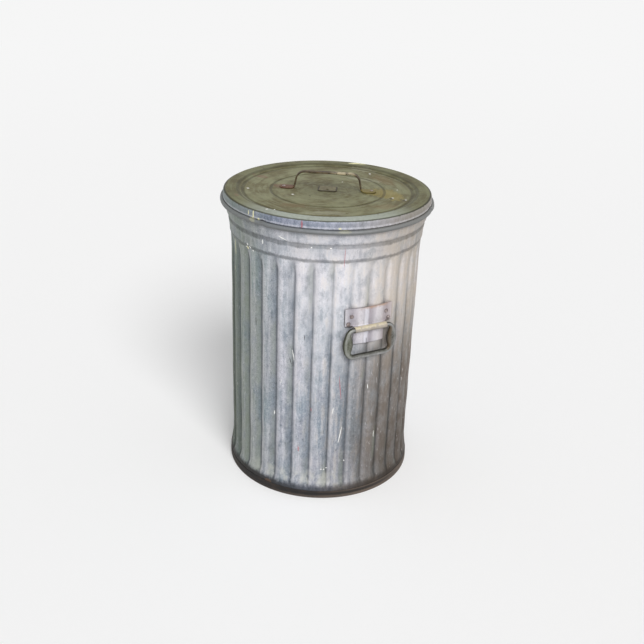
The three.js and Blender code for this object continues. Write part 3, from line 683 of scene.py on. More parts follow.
def bracket_section():
    """Radius and height down the middle of the pressing, with the barrel as an arc about the pivot."""
    face = BRACKET_R + BRACKET_SHEET / 2
    over = arc((PIVOT[0], PIVOT[2]), BARREL_MID, 90, -90, 19)
    above, below = (face, PIVOT[2] + BARREL_MID, BARREL_BEND), (face, PIVOT[2] - BARREL_MID, BARREL_BEND)
    down = rounded([(face, BRACKET_HIGH), above, tuple(over[0])], steps=5)
    up = rounded([tuple(over[-1]), below, (face, BRACKET_LOW)], steps=5)
    return refined(np.concatenate([down[:-1], over, up[1:]]), BRACKET_STEP)


def corner_cut(from_edge):
    """How far a rounded corner stands back, at a distance from the edge that it runs into."""
    share = 1 - np.clip(from_edge / CORNER_R, 0, 1)
    return CORNER_R * (1 - np.sqrt(1 - share ** 2))


def bracket_half_width(section):
    """The plate's half width above the barrel with rounded corners, and the barrel's and flange's below."""
    height = section[:, 1]
    lower_edge = PIVOT[2] + BARREL_MID
    broad = PLATE_HALF - corner_cut(BRACKET_HIGH - height) - corner_cut(height - lower_edge)
    on_barrel = section[:, 0] > BRACKET_R + BRACKET_SHEET + 1
    narrow = np.where(on_barrel, BARREL_HALF, FLANGE_HALF - corner_cut(height - BRACKET_LOW))
    return np.where((height > lower_edge - 0.05) & ~on_barrel, broad, narrow)


def bracket_grid():
    """Points at a share of the half width to each side. Near the wall they bend round it and sink a little
    into each valley, and on the barrel they run straight across."""
    section = bracket_section()
    share = np.concatenate([[-1, -0.995], np.linspace(-0.98, 0.98, 61), [0.995, 1]])
    across = bracket_half_width(section)[:, None] * share
    straight = smooth_step(section[:, :1], BRACKET_R + 2, BRACKET_R + 8)
    azimuth = across / BRACKET_R
    skins = []
    for side in (1, -1):
        skin = beside(section, -side * BRACKET_SHEET / 2)
        radius = skin[:, :1] - VALLEY_SINK * flute_share(azimuth, skin[:, 1:]) * (1 - straight)
        x = (1 - straight) * radius * np.cos(azimuth) + straight * radius
        y = (1 - straight) * radius * np.sin(azimuth) + straight * across
        skins.append(np.stack([x, y, np.broadcast_to(skin[:, 1:], x.shape)], axis=-1))
    return closed_shell(*skins)


def closed_shell(front, back):
    """Joins a front and a back skin of the same grid into one tube of rings, each ring running over the
    front and returning over the back, and closes its two ends."""
    rings = np.concatenate([front, back[:, ::-1]], axis=1)
    middle = (front + back) / 2
    folded = np.concatenate([middle, middle[:, ::-1]], axis=1)
    return np.concatenate([folded[:1], rings, folded[-1:]])


def both_sides(name, grid, wrap_rows, marks=None):
    """The same piece on the right, where it is drawn, and turned half round on the left."""
    turns = {"right": 0, "left": 180}
    return [
        sheet_piece(f"{name}_{side}", placed(grid, turn), wrap_rows, marks) for side, turn in turns.items()
    ]


brackets = both_sides("bracket_sheet", bracket_grid(), wrap_rows=False)
print("bracket faces:", len(brackets[0].data.polygons))

# %% [markdown]
# ## The drop handles
#
# A drop handle is a loop of pressed steel. Its top bar is round, because it turns in the barrel. Its arms
# are pressed broad, with a groove down the middle between two ribs, and its grip is rolled to a tube. One
# section does for all: an oval whose half width and depth swell down the arms, with a furrow pressed into
# the face that looks away from the wall.

# %% Drop handles
LOOP_HALF, LOOP_DROP, LOOP_STEP = 55.5, 66.0, 2.2
TOP_BEND, GRIP_BEND = 12.0, 17.0
GRIP_GAIN, ARM_WIDTH_GAIN, ARM_DEPTH_GAIN, FURROW = 0.9, 7.0, 2.2, 3.4


def drop_handle_grid():
    """The loop's section at each point of its path. down is 0 at the bar and 1 at the grip, and the swell
    is the square of the sine of half a turn of it. The marks tell the finish where the furrow is, and which
    way the surface looks: out from the wall, and to the inside of the loop."""
    path = refined(rounded([
        (LOOP_HALF, 0, TOP_BEND), (LOOP_HALF, -LOOP_DROP / 2), (LOOP_HALF, -LOOP_DROP, GRIP_BEND),
        (-LOOP_HALF, -LOOP_DROP, GRIP_BEND), (-LOOP_HALF, -LOOP_DROP / 2), (-LOOP_HALF, 0, TOP_BEND),
    ], closed=True, steps=12), LOOP_STEP)
    down = np.clip(-path[:, 1] / LOOP_DROP, 0, 1)
    swell = np.sin(math.pi * down) ** 2
    wide = BAR_R + GRIP_GAIN * down + ARM_WIDTH_GAIN * swell
    deep = BAR_R + GRIP_GAIN * down + ARM_DEPTH_GAIN * swell
    angle = all_round(40)
    in_plane, outwards = np.cos(angle), np.sin(angle)
    furrow = FURROW * swell[:, None] * bell(in_plane, 0, 0.4) * (outwards > 0)
    depth = deep[:, None] * outwards - furrow
    plane = path[:, None] + right_of(path, closed=True)[:, None] * (wide[:, None] * in_plane)[..., None]
    grid = np.concatenate([depth[..., None], plane], axis=-1) + np.array([PIVOT[0], 0, PIVOT[2]])
    marks = {
        "middle": bell(in_plane, 0, 0.45) * swell[:, None],
        "front": outwards + 0 * depth,
        "inner": in_plane + 0 * depth,
    }
    return grid, marks


drop_points, drop_marks = drop_handle_grid()
drops = both_sides("drop_handle", drop_points, True, drop_marks)
print("drop handle faces:", len(drops[0].data.polygons))

# %% [markdown]
# ## Rivets
#
# Ten rivets hold the brackets and the lid's handle. Each has a low dome and a flat tail, both turned
# profiles. Each one stands where its node stands in the frame: the middle of the node's box gives the
# place, and the direction is out from the can's axis or straight up.

# %% Rivets
HEAD_R, HEAD_HEIGHT, SHANK_R, TAIL_R, TAIL_HEIGHT = 4.2, 1.9, 2.0, 3.2, 1.2
RIVET_COLUMNS = 24


def rivet_profile(length):
    """From the tail's middle, along the shank and over the dome to the head's middle."""
    tail = -length + HEAD_HEIGHT + TAIL_HEIGHT
    foot = [(0, tail - TAIL_HEIGHT), (TAIL_R, tail - TAIL_HEIGHT, 0.5), (TAIL_R, tail, 0.3), (SHANK_R, tail)]
    dome = arc((0, 0), 1, 8, 90, 8) * np.array([HEAD_R, HEAD_HEIGHT])
    head = [(SHANK_R, 0), (HEAD_R, 0, 0.3), tuple(dome[0])]
    return np.concatenate([rounded(foot, steps=3), rounded(head, steps=3), dome[1:]])


def rivet_piece(node):
    """Stands on its node of the frame: upright on the lid, and on the wall with its head outward."""
    low, high = span(node)
    middle = (low + high) / 2
    if "lid" in node:
        upright = turned(rivet_profile(high[2] - low[2]), all_round(RIVET_COLUMNS))
        grid = placed(upright, 0, (middle[0], middle[1], high[2] - HEAD_HEIGHT))
    else:
        corners = np.array([vertex.co for vertex in frame["nodes"][node].data.vertices]) / MM
        away = np.hypot(corners[:, 0], corners[:, 1])
        upright = turned(rivet_profile(np.ptp(away)), all_round(RIVET_COLUMNS))
        azimuth = math.degrees(math.atan2(middle[1], middle[0]))
        grid = placed(upright[..., [2, 0, 1]], azimuth, (away.max() - HEAD_HEIGHT, 0, middle[2]))
    return sheet_piece(node.replace("rivet", "rivet_head"), grid, wrap_rows=False)


rivets = {node: rivet_piece(node) for node in sorted(frame["nodes"]) if node.startswith("rivet")}
print("rivets:", len(rivets))

# %% [markdown]
# ## Shader sums in Python
#
# A material is a sum of masks and colours. Wrapping each node's output in a small class lets the sums be
# written as sums: every operator adds its Math node. Colours and vectors go through Mix and Vector Math,
# and any other node comes from the one method of the tree.

# %% Sums of values
def math_method(operation, reflected=False):
    """A method that adds a Math node. The value itself comes first, or second in the reflected form."""
    def method(value, other):
        terms = (other, value) if reflected else (value, other)
        return value.tree.node("ShaderNodeMath", {"operation": operation}, dict(enumerate(terms)))
    return method


class Value:
    """One output of a node. Operators on it add Math nodes, with numbers or other values beside it."""

    def __init__(self, tree, socket):
        self.tree, self.socket = tree, socket

    def math(self, operation):
        """Adds a Math node that needs no second value, such as the sign or the absolute value."""
        return self.tree.node("ShaderNodeMath", {"operation": operation}, {0: self})

    __add__, __radd__ = math_method("ADD"), math_method("ADD", reflected=True)
    __sub__, __rsub__ = math_method("SUBTRACT"), math_method("SUBTRACT", reflected=True)
    __mul__, __rmul__ = math_method("MULTIPLY"), math_method("MULTIPLY", reflected=True)
    __truediv__, __rtruediv__ = math_method("DIVIDE"), math_method("DIVIDE", reflected=True)
    __pow__, __gt__ = math_method("POWER"), math_method("GREATER_THAN")
    or_ = math_method("MAXIMUM")


class Tree:
    """The emptied node tree of a material or a world."""

    def __init__(self, owner):
        owner.use_nodes = True
        self.owner = owner
        self.nodes, self.links = owner.node_tree.nodes, owner.node_tree.links
        self.nodes.clear()

    def node(self, kind, settings, inputs, output=0):
        """Adds any node: its type, its settings, then the values or links of its sockets."""
        made = self.nodes.new(kind)
        for key, value in settings.items():
            setattr(made, key, value)
        for key, value in inputs.items():
            if isinstance(value, Value):
                self.links.new(value.socket, made.inputs[key])
            else:
                made.inputs[key].default_value = value
        return None if output is None else Value(self, made.outputs[output])


# %% [markdown]
# A finish is mixed in layers, and each layer needs a mask that says where it lies: by height, by the side
# of the can, by how far out from the axis, by a noise, or by a value that the mesh holds. Object coordinates
# are the same as the can's own, because every piece has its place in its mesh. The sides are counted from
# the one that the photograph shows.

# %% Paint kit
FRONT_AZIMUTH = VIEW_AZIMUTH - 90  # of the side that looks at the camera, in degrees from the X axis


class Paint(Tree):
    """A new material, with the place on the can as x, y, z and radius in millimetres."""

    def __init__(self, name):
        super().__init__(bpy.data.materials.new(name))
        metres = self.node("ShaderNodeTexCoord", {}, {}, "Object")
        self.place = self.node("ShaderNodeVectorMath", {"operation": "SCALE"}, {0: metres, "Scale": 1 / MM})
        self.x, self.y, self.z = (
            self.node("ShaderNodeSeparateXYZ", {}, {0: self.place}, axis) for axis in range(3)
        )
        self.radius = (self.x * self.x + self.y * self.y) ** 0.5

    def smooth(self, value, low, high):
        """0 up to low and 1 from high on, with a smooth rise between them; low may be the larger one."""
        ends = {"Value": value, "From Min": low, "From Max": high, "To Min": 0.0, "To Max": 1.0}
        return self.node("ShaderNodeMapRange", {"interpolation_type": "SMOOTHSTEP"}, ends)

    def mix(self, mask, first, second, blend="MIX"):
        """The first colour where the mask is 0 and the second where it is 1."""
        settings = {"data_type": "RGBA", "blend_type": blend, "clamp_factor": True}
        return self.node("ShaderNodeMix", settings, {0: mask, 6: first, 7: second}, 2)

    def tinted(self, mask, base, tint):
        """The base multiplied by a tint where the mask is 1."""
        return self.mix(mask, base, tint, "MULTIPLY")

    def cloudy(self, where, detail, rough):
        """Noise about 0.5 whose patches are about 1 wide in the given coordinates."""
        ends = {"Vector": where, "Scale": 1.0, "Detail": detail, "Roughness": rough}
        return self.node("ShaderNodeTexNoise", {}, ends)

    def noise(self, size, stretch=(1, 1, 1), detail=3.0, rough=0.55, shift=0.0):
        """Noise whose patches measure about size millimetres, longer where stretched."""
        scale = tuple(1 / (size * s) for s in stretch)
        where = self.node("ShaderNodeVectorMath", {"operation": "MULTIPLY"}, {0: self.place, 1: scale})
        shifts = {0: where, 1: (shift, 2 * shift, 3 * shift)}
        return self.cloudy(self.node("ShaderNodeVectorMath", {"operation": "ADD"}, shifts), detail, rough)

    def strokes(self, size, turns):
        """Noise in long strokes that run round the axis: the direction from the axis and the radius are its
        coordinates."""
        around = [self.x / self.radius * turns, self.y / self.radius * turns, self.radius / size]
        return self.cloudy(self.node("ShaderNodeCombineXYZ", {}, dict(enumerate(around))), 4.0, 0.6)

    def spangle(self, size):
        """Zinc crystals: each cell of a Voronoi pattern has one random value."""
        ends = {"Vector": self.place, "Scale": 1 / size}
        colour = self.node("ShaderNodeTexVoronoi", {}, ends, "Color")
        return self.node("ShaderNodeSeparateColor", {}, {0: colour}, 0)

    def attribute(self, name):
        """A value that the mesh itself holds for each of its points."""
        return self.node("ShaderNodeAttribute", {"attribute_name": name}, {}, "Fac")

    def along(self, azimuth):
        """How far out from the axis a place lies, measured in the direction of an azimuth."""
        c, s = cos_sin(azimuth)
        return self.x * c + self.y * s

    def facing(self, azimuth, spread):
        """1 on the side that looks to an azimuth, in degrees to the right of the front, falling to 0 at the
        spread's angle."""
        return self.smooth(self.along(FRONT_AZIMUTH + azimuth) / self.radius, cos_sin(spread)[0], 1.0)

    def band(self, value, middle, half):
        """1 where the value is near the middle, falling smoothly to 0 at half the band's width."""
        return self.smooth((value - middle).math("ABSOLUTE"), half, 0.35 * half)

    def finish(self, colour, roughness, metallic, height, depth):
        """Closes the tree: a metal surface whose bumps are up to depth millimetres high."""
        bumps = self.node("ShaderNodeBump", {}, {"Strength": 1.0, "Distance": depth * MM, "Height": height})
        ends = {"Base Color": colour, "Roughness": roughness, "Metallic": metallic, "Normal": bumps}
        return self.closed(self.node("ShaderNodeBsdfPrincipled", {}, ends))

    def closed(self, shader):
        """Leads a shader to the surface and hands back the material."""
        self.node("ShaderNodeOutputMaterial", {}, {"Surface": shader}, None)
        return self.owner


def shade(red, green, blue):
    """A colour given as it looks on screen, 0 to 255, in the linear numbers that shaders use."""
    parts = np.array([red, green, blue]) / 255
    linear = np.where(parts <= 0.04045, parts / 12.92, ((parts + 0.055) / 1.055) ** 2.4)
    return (*linear.tolist(), 1.0)


# %% [markdown]
# ## Marks of use
#
# Splashes of paint, scratches and spots sit at known places, so each is a mask of its own: an oval on the
# wall or on the lid, turned and with a frayed edge. On the wall the distance across is measured along the
# tangent at the mark's azimuth, which keeps one side of the can only.


# %% Marks
def oval(paint, across, up, half, tilt, fray):
    """1 inside an oval of two half sizes and 0 outside. Its edge is moved in and out by the fray, and a
    tilt in degrees leans its upper end to the left."""
    c, s = cos_sin(tilt)
    a, b = (across * c + up * s) / half[0], (up * c - across * s) / half[1]
    return paint.smooth((a * a + b * b) ** 0.5 + fray, 1.15, 0.8)


def any_of(masks):
    """The strongest of several masks."""
    total = masks[0]
    for mask in masks[1:]:
        total = total.or_(mask)
    return total


def side_marks(paint, places, fray):
    """Marks on the can's side, each given as azimuth, height, half width, half height and tilt."""
    return any_of([
        oval(paint, paint.along(azimuth + 90), paint.z - height, (wide, tall), tilt, fray)
        * (paint.along(azimuth) > 0.0) for azimuth, height, wide, tall, tilt in places
    ])


def top_marks(paint, places, fray):
    """Marks on the lid, each given as x, y, two half sizes and a turn."""
    return any_of([oval(paint, paint.x - x, paint.y - y, (a, b), turn, fray) for x, y, a, b, turn in places])


def marked(paint, colour, kind, layers, fray, where=1.0):
    """Lays layers of marks over a colour, each with its own tone, strength and places."""
    for tone, strength, places in layers:
        colour = paint.mix(kind(paint, places, fray) * (where * strength), colour, tone)
    return colour


# %% [markdown]
# ## Weathered zinc
#
# Galvanizing leaves a coat of zinc crystals, which dulls to blue-grey and goes chalky where it is rubbed and
# wetted. Rain draws streaks down it, knocks leave bright scuffs, and pits collect dirt. The same coat
# covers the wall, the lid and the brackets, so it is one function that hands back its colour and a coat:
# the noises that it is made of, by name, for the layers that follow.

# %% Zinc
CHALK, PALE = shade(240, 237, 240), shade(222, 222, 228)
BLUE_GREY, LILAC = shade(162, 173, 184), shade(190, 190, 200)
OLIVE, BEIGE, RUST = shade(132, 142, 122), shade(182, 168, 150), shade(136, 92, 58)
GRIME, SOOT = shade(92, 92, 88), shade(40, 38, 36)
YELLOW_PAINT, WHITE_PAINT, RED_PAINT = shade(232, 228, 182), shade(240, 240, 236), shade(178, 72, 78)
ZINC_LAYERS = [  # how a layer is laid, its noise, where it starts and is full, its strength and its tone
    ("MIX", "streaks", 0.46, 0.68, 0.85, PALE),
    ("MULTIPLY", "streaks", 0.47, 0.3, 0.6, shade(176, 186, 190)),
    ("MIX", "mottle", 0.52, 0.7, 0.6, PALE),
    ("MULTIPLY", "mottle", 0.46, 0.32, 0.7, shade(190, 196, 198)),
    ("MULTIPLY", "patches", 0.54, 0.32, 0.6, shade(196, 204, 208)),
    ("MULTIPLY", "grain", 0.52, 0.36, 0.8, shade(168, 172, 178)),
]


def zinc_coat(paint, streak_length=14):
    """Blue-grey and lilac clouds under chalky streaks, with crystals, grain, scuffs and pits."""
    coat = {
        "clouds": paint.noise(80, (1, 1, 2.2), 4),
        "patches": paint.noise(24, (1, 1, 1.6), 6, 0.62, 5.5),
        "streaks": paint.noise(10, (1, 1, streak_length), 6, 0.6, 3.1),
        "mottle": paint.noise(7, (1, 1, 1.5), 5, 0.65, 7.7),
        "grain": paint.noise(1.9, detail=3, rough=0.7, shift=9.0),
        "scuffs": paint.noise(3.2, (1, 1, 5), 3, 0.6, 4.4),
        "crystals": paint.spangle(6.5),
    }
    colour = paint.mix(paint.smooth(coat["clouds"], 0.4, 0.6), BLUE_GREY, LILAC)
    for blend, name, start, full, strength, tone in ZINC_LAYERS:
        colour = paint.mix(paint.smooth(coat[name], start, full) * strength, colour, tone, blend)
    colour = paint.tinted(coat["crystals"] * 0.35, colour, shade(222, 226, 232))
    coat["bright"] = paint.smooth(coat["scuffs"], 0.63, 0.72)
    coat["pits"] = paint.smooth(coat["scuffs"], 0.34, 0.27)
    coat["relief"] = coat["crystals"] * 0.1 + coat["grain"] * 0.5
    return colour, coat


# %% [markdown]
# ## The wall's finish
#
# Dirt lies in the valleys and paint marks lie on top, and painted light and shade are laid in with them:
# painted shadow under the lid's roll and the flutes' heads, painted shade in the folds and on one flank of
# each flute, and painted highlights on the other flank and on the ridges' feet. Which side is which colour
# follows the azimuth: olive on the left and beige on the right are painted reflections, chalk in the middle
# is a painted highlight, and the foot's black band is dirt that painted shade deepens on the left. Every
# tint has a soft edge that the coat's own noises fray.

# %% Wall finish
WALL_MARKS = [  # tone and strength of each kind of mark, and its places
    (WHITE_PAINT, 1.0, [
        (-51.0, 650, 11, 1.3, -21), (-64.5, 629, 5.5, 1.8, 80), (-75.4, 604, 2.4, 3.2, 20),
        (-77.3, 609, 1.6, 3.0, 30), (-73.1, 598, 2.0, 1.8, 0), (-79.5, 601, 1.3, 2.0, 0),
        (-35.2, 636, 1.6, 1.4, 0), (-24.8, 636, 2.0, 1.3, 0), (-14.8, 172, 1.0, 22, -10),
        (-19.7, 238, 0.9, 9, -4), (8.6, 155, 1.1, 9, 3), (-45.0, 370, 0.9, 14, 9),
        (-25.6, 78, 1.7, 1.3, 0), (-23.9, 76, 1.3, 1.5, 0), (-22.3, 79, 1.8, 1.2, 0),
        (-66.0, 520, 0.8, 6, 4), (-52.0, 300, 0.8, 7, -6), (-11.0, 96, 1.2, 2.0, 0),
        (2.0, 290, 0.8, 6, 5), (-57.0, 210, 0.9, 5, 0),
    ]),
    (YELLOW_PAINT, 0.85, [(-94.5, 581, 1.4, 19, 2), (-96.0, 528, 1.0, 6, 0), (-78.0, 600, 3.2, 4.0, 25)]),
    (RED_PAINT, 0.6, [
        (-16.0, 297, 0.9, 33, 6), (-40.0, 130, 1.6, 7, 4), (-33.0, 236, 1.2, 4, 0), (-17.0, 612, 0.8, 24, 0),
    ]),
    (SOOT, 0.85, [
        (-45.1, 349, 1.1, 6, 4), (-46.5, 356, 0.7, 9, 12), (-38.0, 421, 0.8, 7, -3),
        (-71.0, 430, 0.9, 10, 2),
    ]),
    (shade(104, 78, 58), 0.5, [(-59.6, 21, 10, 5, 0)]),
]
BAND_GROOVE_Z, FLUTE_HEAD_Z = 639, 604.5


def sided(paint, colour, coat):
    """Tints the zinc by the side of the can it is on and by its height. The chalk on the side towards the
    lamp is a painted highlight, olive on the left and beige on the right are painted reflections of the
    surroundings, and the lower right and the upper far left are darkened as painted shade.
    """
    patchy = paint.smooth(coat["patches"], 0.3, 0.62)
    # Painted highlight: chalk on the side that faces the lamp.
    rubbed = paint.facing(14, 55) * paint.smooth(paint.z, 180, 560)
    colour = paint.mix(rubbed * (0.25 + 0.45 * patchy), colour, CHALK)
    # Painted reflections: olive on the left, beige on the right.
    colour = paint.mix(paint.facing(-78, 56) * (0.35 + 0.35 * patchy), colour, OLIVE)
    colour = paint.mix(paint.facing(66, 56) * (0.4 + 0.35 * patchy), colour, BEIGE)
    stained = paint.smooth(coat["streaks"] + coat["patches"], 1.02, 1.2)
    colour = paint.mix(paint.facing(20, 45) * stained * 0.25, colour, shade(212, 200, 184))
    # Painted shade: darker on the lower right.
    right_shade = paint.facing(64, 74) * paint.smooth(paint.z, 500, 280) * (0.6 + 0.4 * patchy)
    colour = paint.tinted(right_shade, colour, shade(158, 153, 150))
    colour = paint.tinted(paint.smooth(paint.z, 330, 40) * 0.35, colour, shade(214, 216, 214))
    low_right = paint.facing(78, 56) * paint.smooth(paint.z, 330, 60)
    colour = paint.tinted(low_right * 0.7, colour, shade(176, 170, 164))
    # Painted shade: darker on the upper far left.
    far_left = paint.facing(-100, 50) * paint.smooth(paint.z, 640, 480)
    return paint.tinted(far_left, colour, shade(158, 163, 148))


def pressed_dirt_and_light(paint, colour, coat):
    """Dirt and painted shade in what the flutes and the rolled bands shelter, and painted light on the
    flanks. The fold of a flute is darkest, the flank to its left carries painted shade and the flank to its
    right a painted highlight. The painted shade of the valleys, flanks and folds is weaker on the upper side
    that faces the lamp."""
    valley, crease, shaded_flank, lit = (paint.attribute(name) for name in ("valley", "crease", "shaded_flank", "lit"))
    # Less painted shade on the upper part of the side that faces the lamp.
    lamp_side = paint.facing(36, 48) * paint.smooth(paint.z, 380, 540)
    valley_shade_strength = (1 - 0.75 * lamp_side) * paint.smooth(coat["streaks"], 0.2, 0.5)
    # Dirt and painted shade in the valleys.
    colour = paint.tinted(paint.smooth(valley, 0.4, 1.0) * 0.35 * valley_shade_strength, colour, shade(186, 192, 200))
    # The lower right gets no painted highlight and darker folds, as painted shade.
    stained = paint.facing(66, 66) * paint.smooth(paint.z, 560, 460)
    # Painted highlight on the flank to the right of each fold.
    colour = paint.mix(lit * (1 - stained) * (0.1 + 0.4 * coat["mottle"]), colour, CHALK)
    # Painted shade on the flank to the left of each fold, greenish in part, weakest towards the lamp.
    dull = shaded_flank * (0.35 + 0.6 * coat["streaks"]) * valley_shade_strength * (1 - 0.5 * paint.facing(18, 36))
    colour = paint.tinted(dull, colour, shade(170, 176, 180))
    colour = paint.mix(paint.smooth(coat["clouds"], 0.48, 0.6) * shaded_flank * 0.3, colour, OLIVE)
    # Painted shade in the folds, deeper on the left and on the lower right.
    folds = crease * (0.5 + 0.4 * paint.facing(-40, 80).or_(stained)) * valley_shade_strength
    colour = paint.tinted(folds, colour, shade(104, 110, 112))
    ragged = paint.z + (coat["mottle"] - 0.5) * 8 + (coat["patches"] - 0.5) * 8
    # Painted shadow under the flutes' heads and under the lid's roll, and dirt with painted shade in the
    # band's groove.
    shadow_and_dirt = any_of([
        paint.band(ragged, FLUTE_HEAD_Z, 7) * (0.2 + 0.75 * coat["streaks"]),
        paint.attribute("arch") * (0.1 + 0.8 * coat["mottle"]),
        paint.band(ragged, BAND_GROOVE_Z, 9) * (0.2 + 0.8 * coat["patches"]),
        paint.smooth(paint.z, 606, 612) * 0.14,
        paint.smooth(ragged, 662, 671) * 0.45,
    ])
    return paint.tinted(shadow_and_dirt, colour, shade(112, 116, 116))


def foot_dirt_and_light(paint, colour, coat):
    """Painted highlights on the tongues at the ridges' feet on the front, and below them the grey and then
    black band of the foot, whose black is deepened to the left by painted shade.
    """
    uneven = paint.z + (coat["patches"] - 0.5) * 50
    # Painted highlight on the rounded ends of the ridges, on the front only.
    tongue_highlight = paint.band(uneven, 52, 26) * paint.smooth(coat["patches"], 0.4, 0.6) * paint.facing(-14, 40)
    colour = paint.mix(tongue_highlight * 0.45, colour, shade(200, 200, 190))
    ragged = paint.z + (coat["mottle"] - 0.5) * 10 + (coat["patches"] - 0.5) * 8
    left, right = paint.facing(-66, 66), paint.facing(56, 60)
    foot_tint = paint.mix(right, shade(136, 138, 144), shade(150, 138, 126))
    colour = paint.tinted(paint.smooth(ragged, 42, 25), colour, foot_tint)
    # Black at the foot: dirt all round, deepened and widened to the left as painted shade.
    return paint.mix(paint.smooth(ragged - left * 6, 30, 20) * (0.2 + 0.78 * left), colour, SOOT)


def wall_paint():
    """Zinc tinted by side with painted highlights, reflections and shade, with scuffs and pits, dirt and
    painted light and shade in its folds and at its foot, and marks on top.
    """
    paint = Paint("galvanized_wall")
    colour, coat = zinc_coat(paint)
    colour = sided(paint, colour, coat)
    colour = paint.mix(coat["bright"] * 0.35, colour, CHALK)
    colour = paint.mix(coat["pits"] * 0.45, colour, GRIME)
    colour = pressed_dirt_and_light(paint, colour, coat)
    colour = foot_dirt_and_light(paint, colour, coat)
    colour = marked(paint, colour, side_marks, WALL_MARKS, (coat["grain"] - 0.5) * 1.2)
    colour = paint.mix(paint.attribute("inside") * 0.75, colour, shade(118, 118, 116))
    roughness = 0.42 + 0.3 * coat["patches"] + 0.1 * coat["grain"]
    return paint.finish(colour, roughness, 0.3, coat["relief"] + coat["mottle"] * 0.9, 0.45)


wall_finish = wall_paint()
print("nodes in the wall's finish:", len(wall_finish.node_tree.nodes))

# %% [markdown]
# ## Patina on the lid
#
# Rain stands on the lid, so its top has gone olive and brown, while the skirt has stayed bluish. Dirt and
# painted shade draw the two pressed grooves and the foot of the shoulder as dark lines, and a painted
# highlight lies on the shoulder's front. On the skirt the side tints are painted reflections, the front and
# the skirt's lower edge carry painted highlights, and painted shade darkens the crevice above the roll and
# the roll's underside. The handle's feet have bled rust over one side and yellow over the other.

# %% Lid finish
LID_STAINS = [  # broad stains on the lid's top
    (shade(150, 134, 66), 0.5, [(82, 112, 46, 26, 0), (60, 84, 26, 14, 20)]),
    (shade(116, 72, 58), 0.4, [(-60, -84, 26, 16, 30), (-20, -215, 10, 4, 0), (-150, -100, 22, 10, 40)]),
    (shade(118, 94, 58), 0.35, [(77, -122, 30, 16, 60), (-20, 160, 44, 18, 0), (160, 60, 30, 16, 80)]),
    (shade(168, 168, 146), 0.35, [(-115, 154, 32, 14, 40), (-40, 120, 40, 14, 40), (150, -80, 44, 14, 70)]),
]
LID_MARKS = [  # splashes and spots on the lid's top
    (WHITE_PAINT, 1.0, [
        (4, -90, 3.2, 2.6, 0), (-77, 155, 3.0, 2.6, 0), (-74, -166, 3.4, 2.6, 30), (60, 150, 1.5, 2.0, 0),
        (-40, 60, 1.6, 1.6, 0), (94, -193, 2.2, 3.4, 20), (87, -173, 1.8, 2.6, 0), (110, 108, 3.0, 2.2, 0),
        (134, 128, 2.4, 2.0, 0), (-140, 60, 1.8, 1.4, 0),
    ]),
    (YELLOW_PAINT, 1.0, [
        (-159, 160, 6, 12, -20), (-149, 178, 5, 7, -30), (-164, 148, 3, 5, 0), (-152, 168, 3, 12, -35),
    ]),
    (shade(54, 44, 30), 0.8, [
        (209, 12, 2.4, 2.4, 0), (113, 102, 5, 4, 0), (137, 122, 5, 4, 0), (53, 82, 14, 9, 30),
        (30, -60, 3, 2, 0),
    ]),
]
SKIRT_MARKS = [  # a drip, a block, dark spots and a stroke on the skirt and the roll
    (YELLOW_PAINT, 1.0, [
        (-68.4, 690, 1.6, 10, 0), (-68.0, 679, 9, 3.2, -12), (-64.6, 683, 2.6, 2.4, 0),
        (-72.0, 690, 1.2, 5, 0),
    ]),
    (shade(222, 218, 170), 0.75, [(-18.5, 678, 14, 2.4, 0), (-20.9, 684, 3.4, 1.6, 0)]),
    # The two dark spots sit where the roll is pushed in and where it gapes: painted shade.
    (SOOT, 0.9, [(-62.2, 681, 4.6, 3.4, 0), (44.7, 681, 4.0, 5.0, 0)]),
    (RED_PAINT, 0.6, [(-40.0, 689, 2.0, 8, 0)]),
]
SHOULDER_FOOT_R = 205


def lid_top_colour(paint, coat):
    """Olive with brown and grey clouds, greyer on the shoulder, with a painted highlight on the shoulder's
    front, and dark lines of dirt and painted shade in the grooves and along the shoulder.
    """
    fine = paint.noise(13, detail=6, rough=0.62, shift=6.1)
    wide = paint.noise(70, detail=4, shift=2.2)
    stroke = paint.strokes(9, 3.2)
    colour = paint.mix(paint.smooth(wide, 0.38, 0.6), shade(96, 90, 56), shade(124, 124, 92))
    colour = paint.mix(paint.smooth(stroke, 0.46, 0.66) * 0.6, colour, shade(138, 139, 108))
    colour = paint.mix(paint.smooth(stroke, 0.46, 0.28) * 0.6, colour, shade(80, 70, 40))
    colour = paint.mix(paint.smooth(fine, 0.5, 0.7) * 0.45, colour, shade(142, 138, 106))
    colour = paint.mix(paint.smooth(fine, 0.44, 0.28) * 0.5, colour, shade(84, 76, 48))
    colour = paint.tinted(paint.smooth(paint.radius, 90, 25) * 0.6, colour, shade(206, 204, 194))
    shoulder = paint.smooth(paint.radius, 200, 212)
    colour = paint.tinted(shoulder * 0.8, colour, shade(218, 218, 206))
    # Painted highlight on the front of the shoulder.
    rubbed = shoulder * paint.facing(0, 62)
    colour = paint.mix(rubbed * (0.3 + 0.8 * coat["mottle"]), colour, shade(184, 192, 184))
    colour = marked(paint, colour, top_marks, LID_STAINS, (fine - 0.5) * 2.2)
    ragged = paint.radius + (fine - 0.5) * 5
    # Dirt and painted shade in the grooves, at the shoulder's foot and at its outer edge.
    lines = any_of([
        paint.band(ragged, INNER_GROOVE_R, 5) * 0.5,
        paint.band(ragged, OUTER_GROOVE_R, 6) * 0.5,
        paint.band(ragged, SHOULDER_FOOT_R, 6) * 0.5,
        paint.band(paint.radius, SHOULDER_EDGE_R + 0.6, 3.2) * 0.85,
    ])
    return paint.tinted(lines, colour, shade(96, 94, 84)), fine


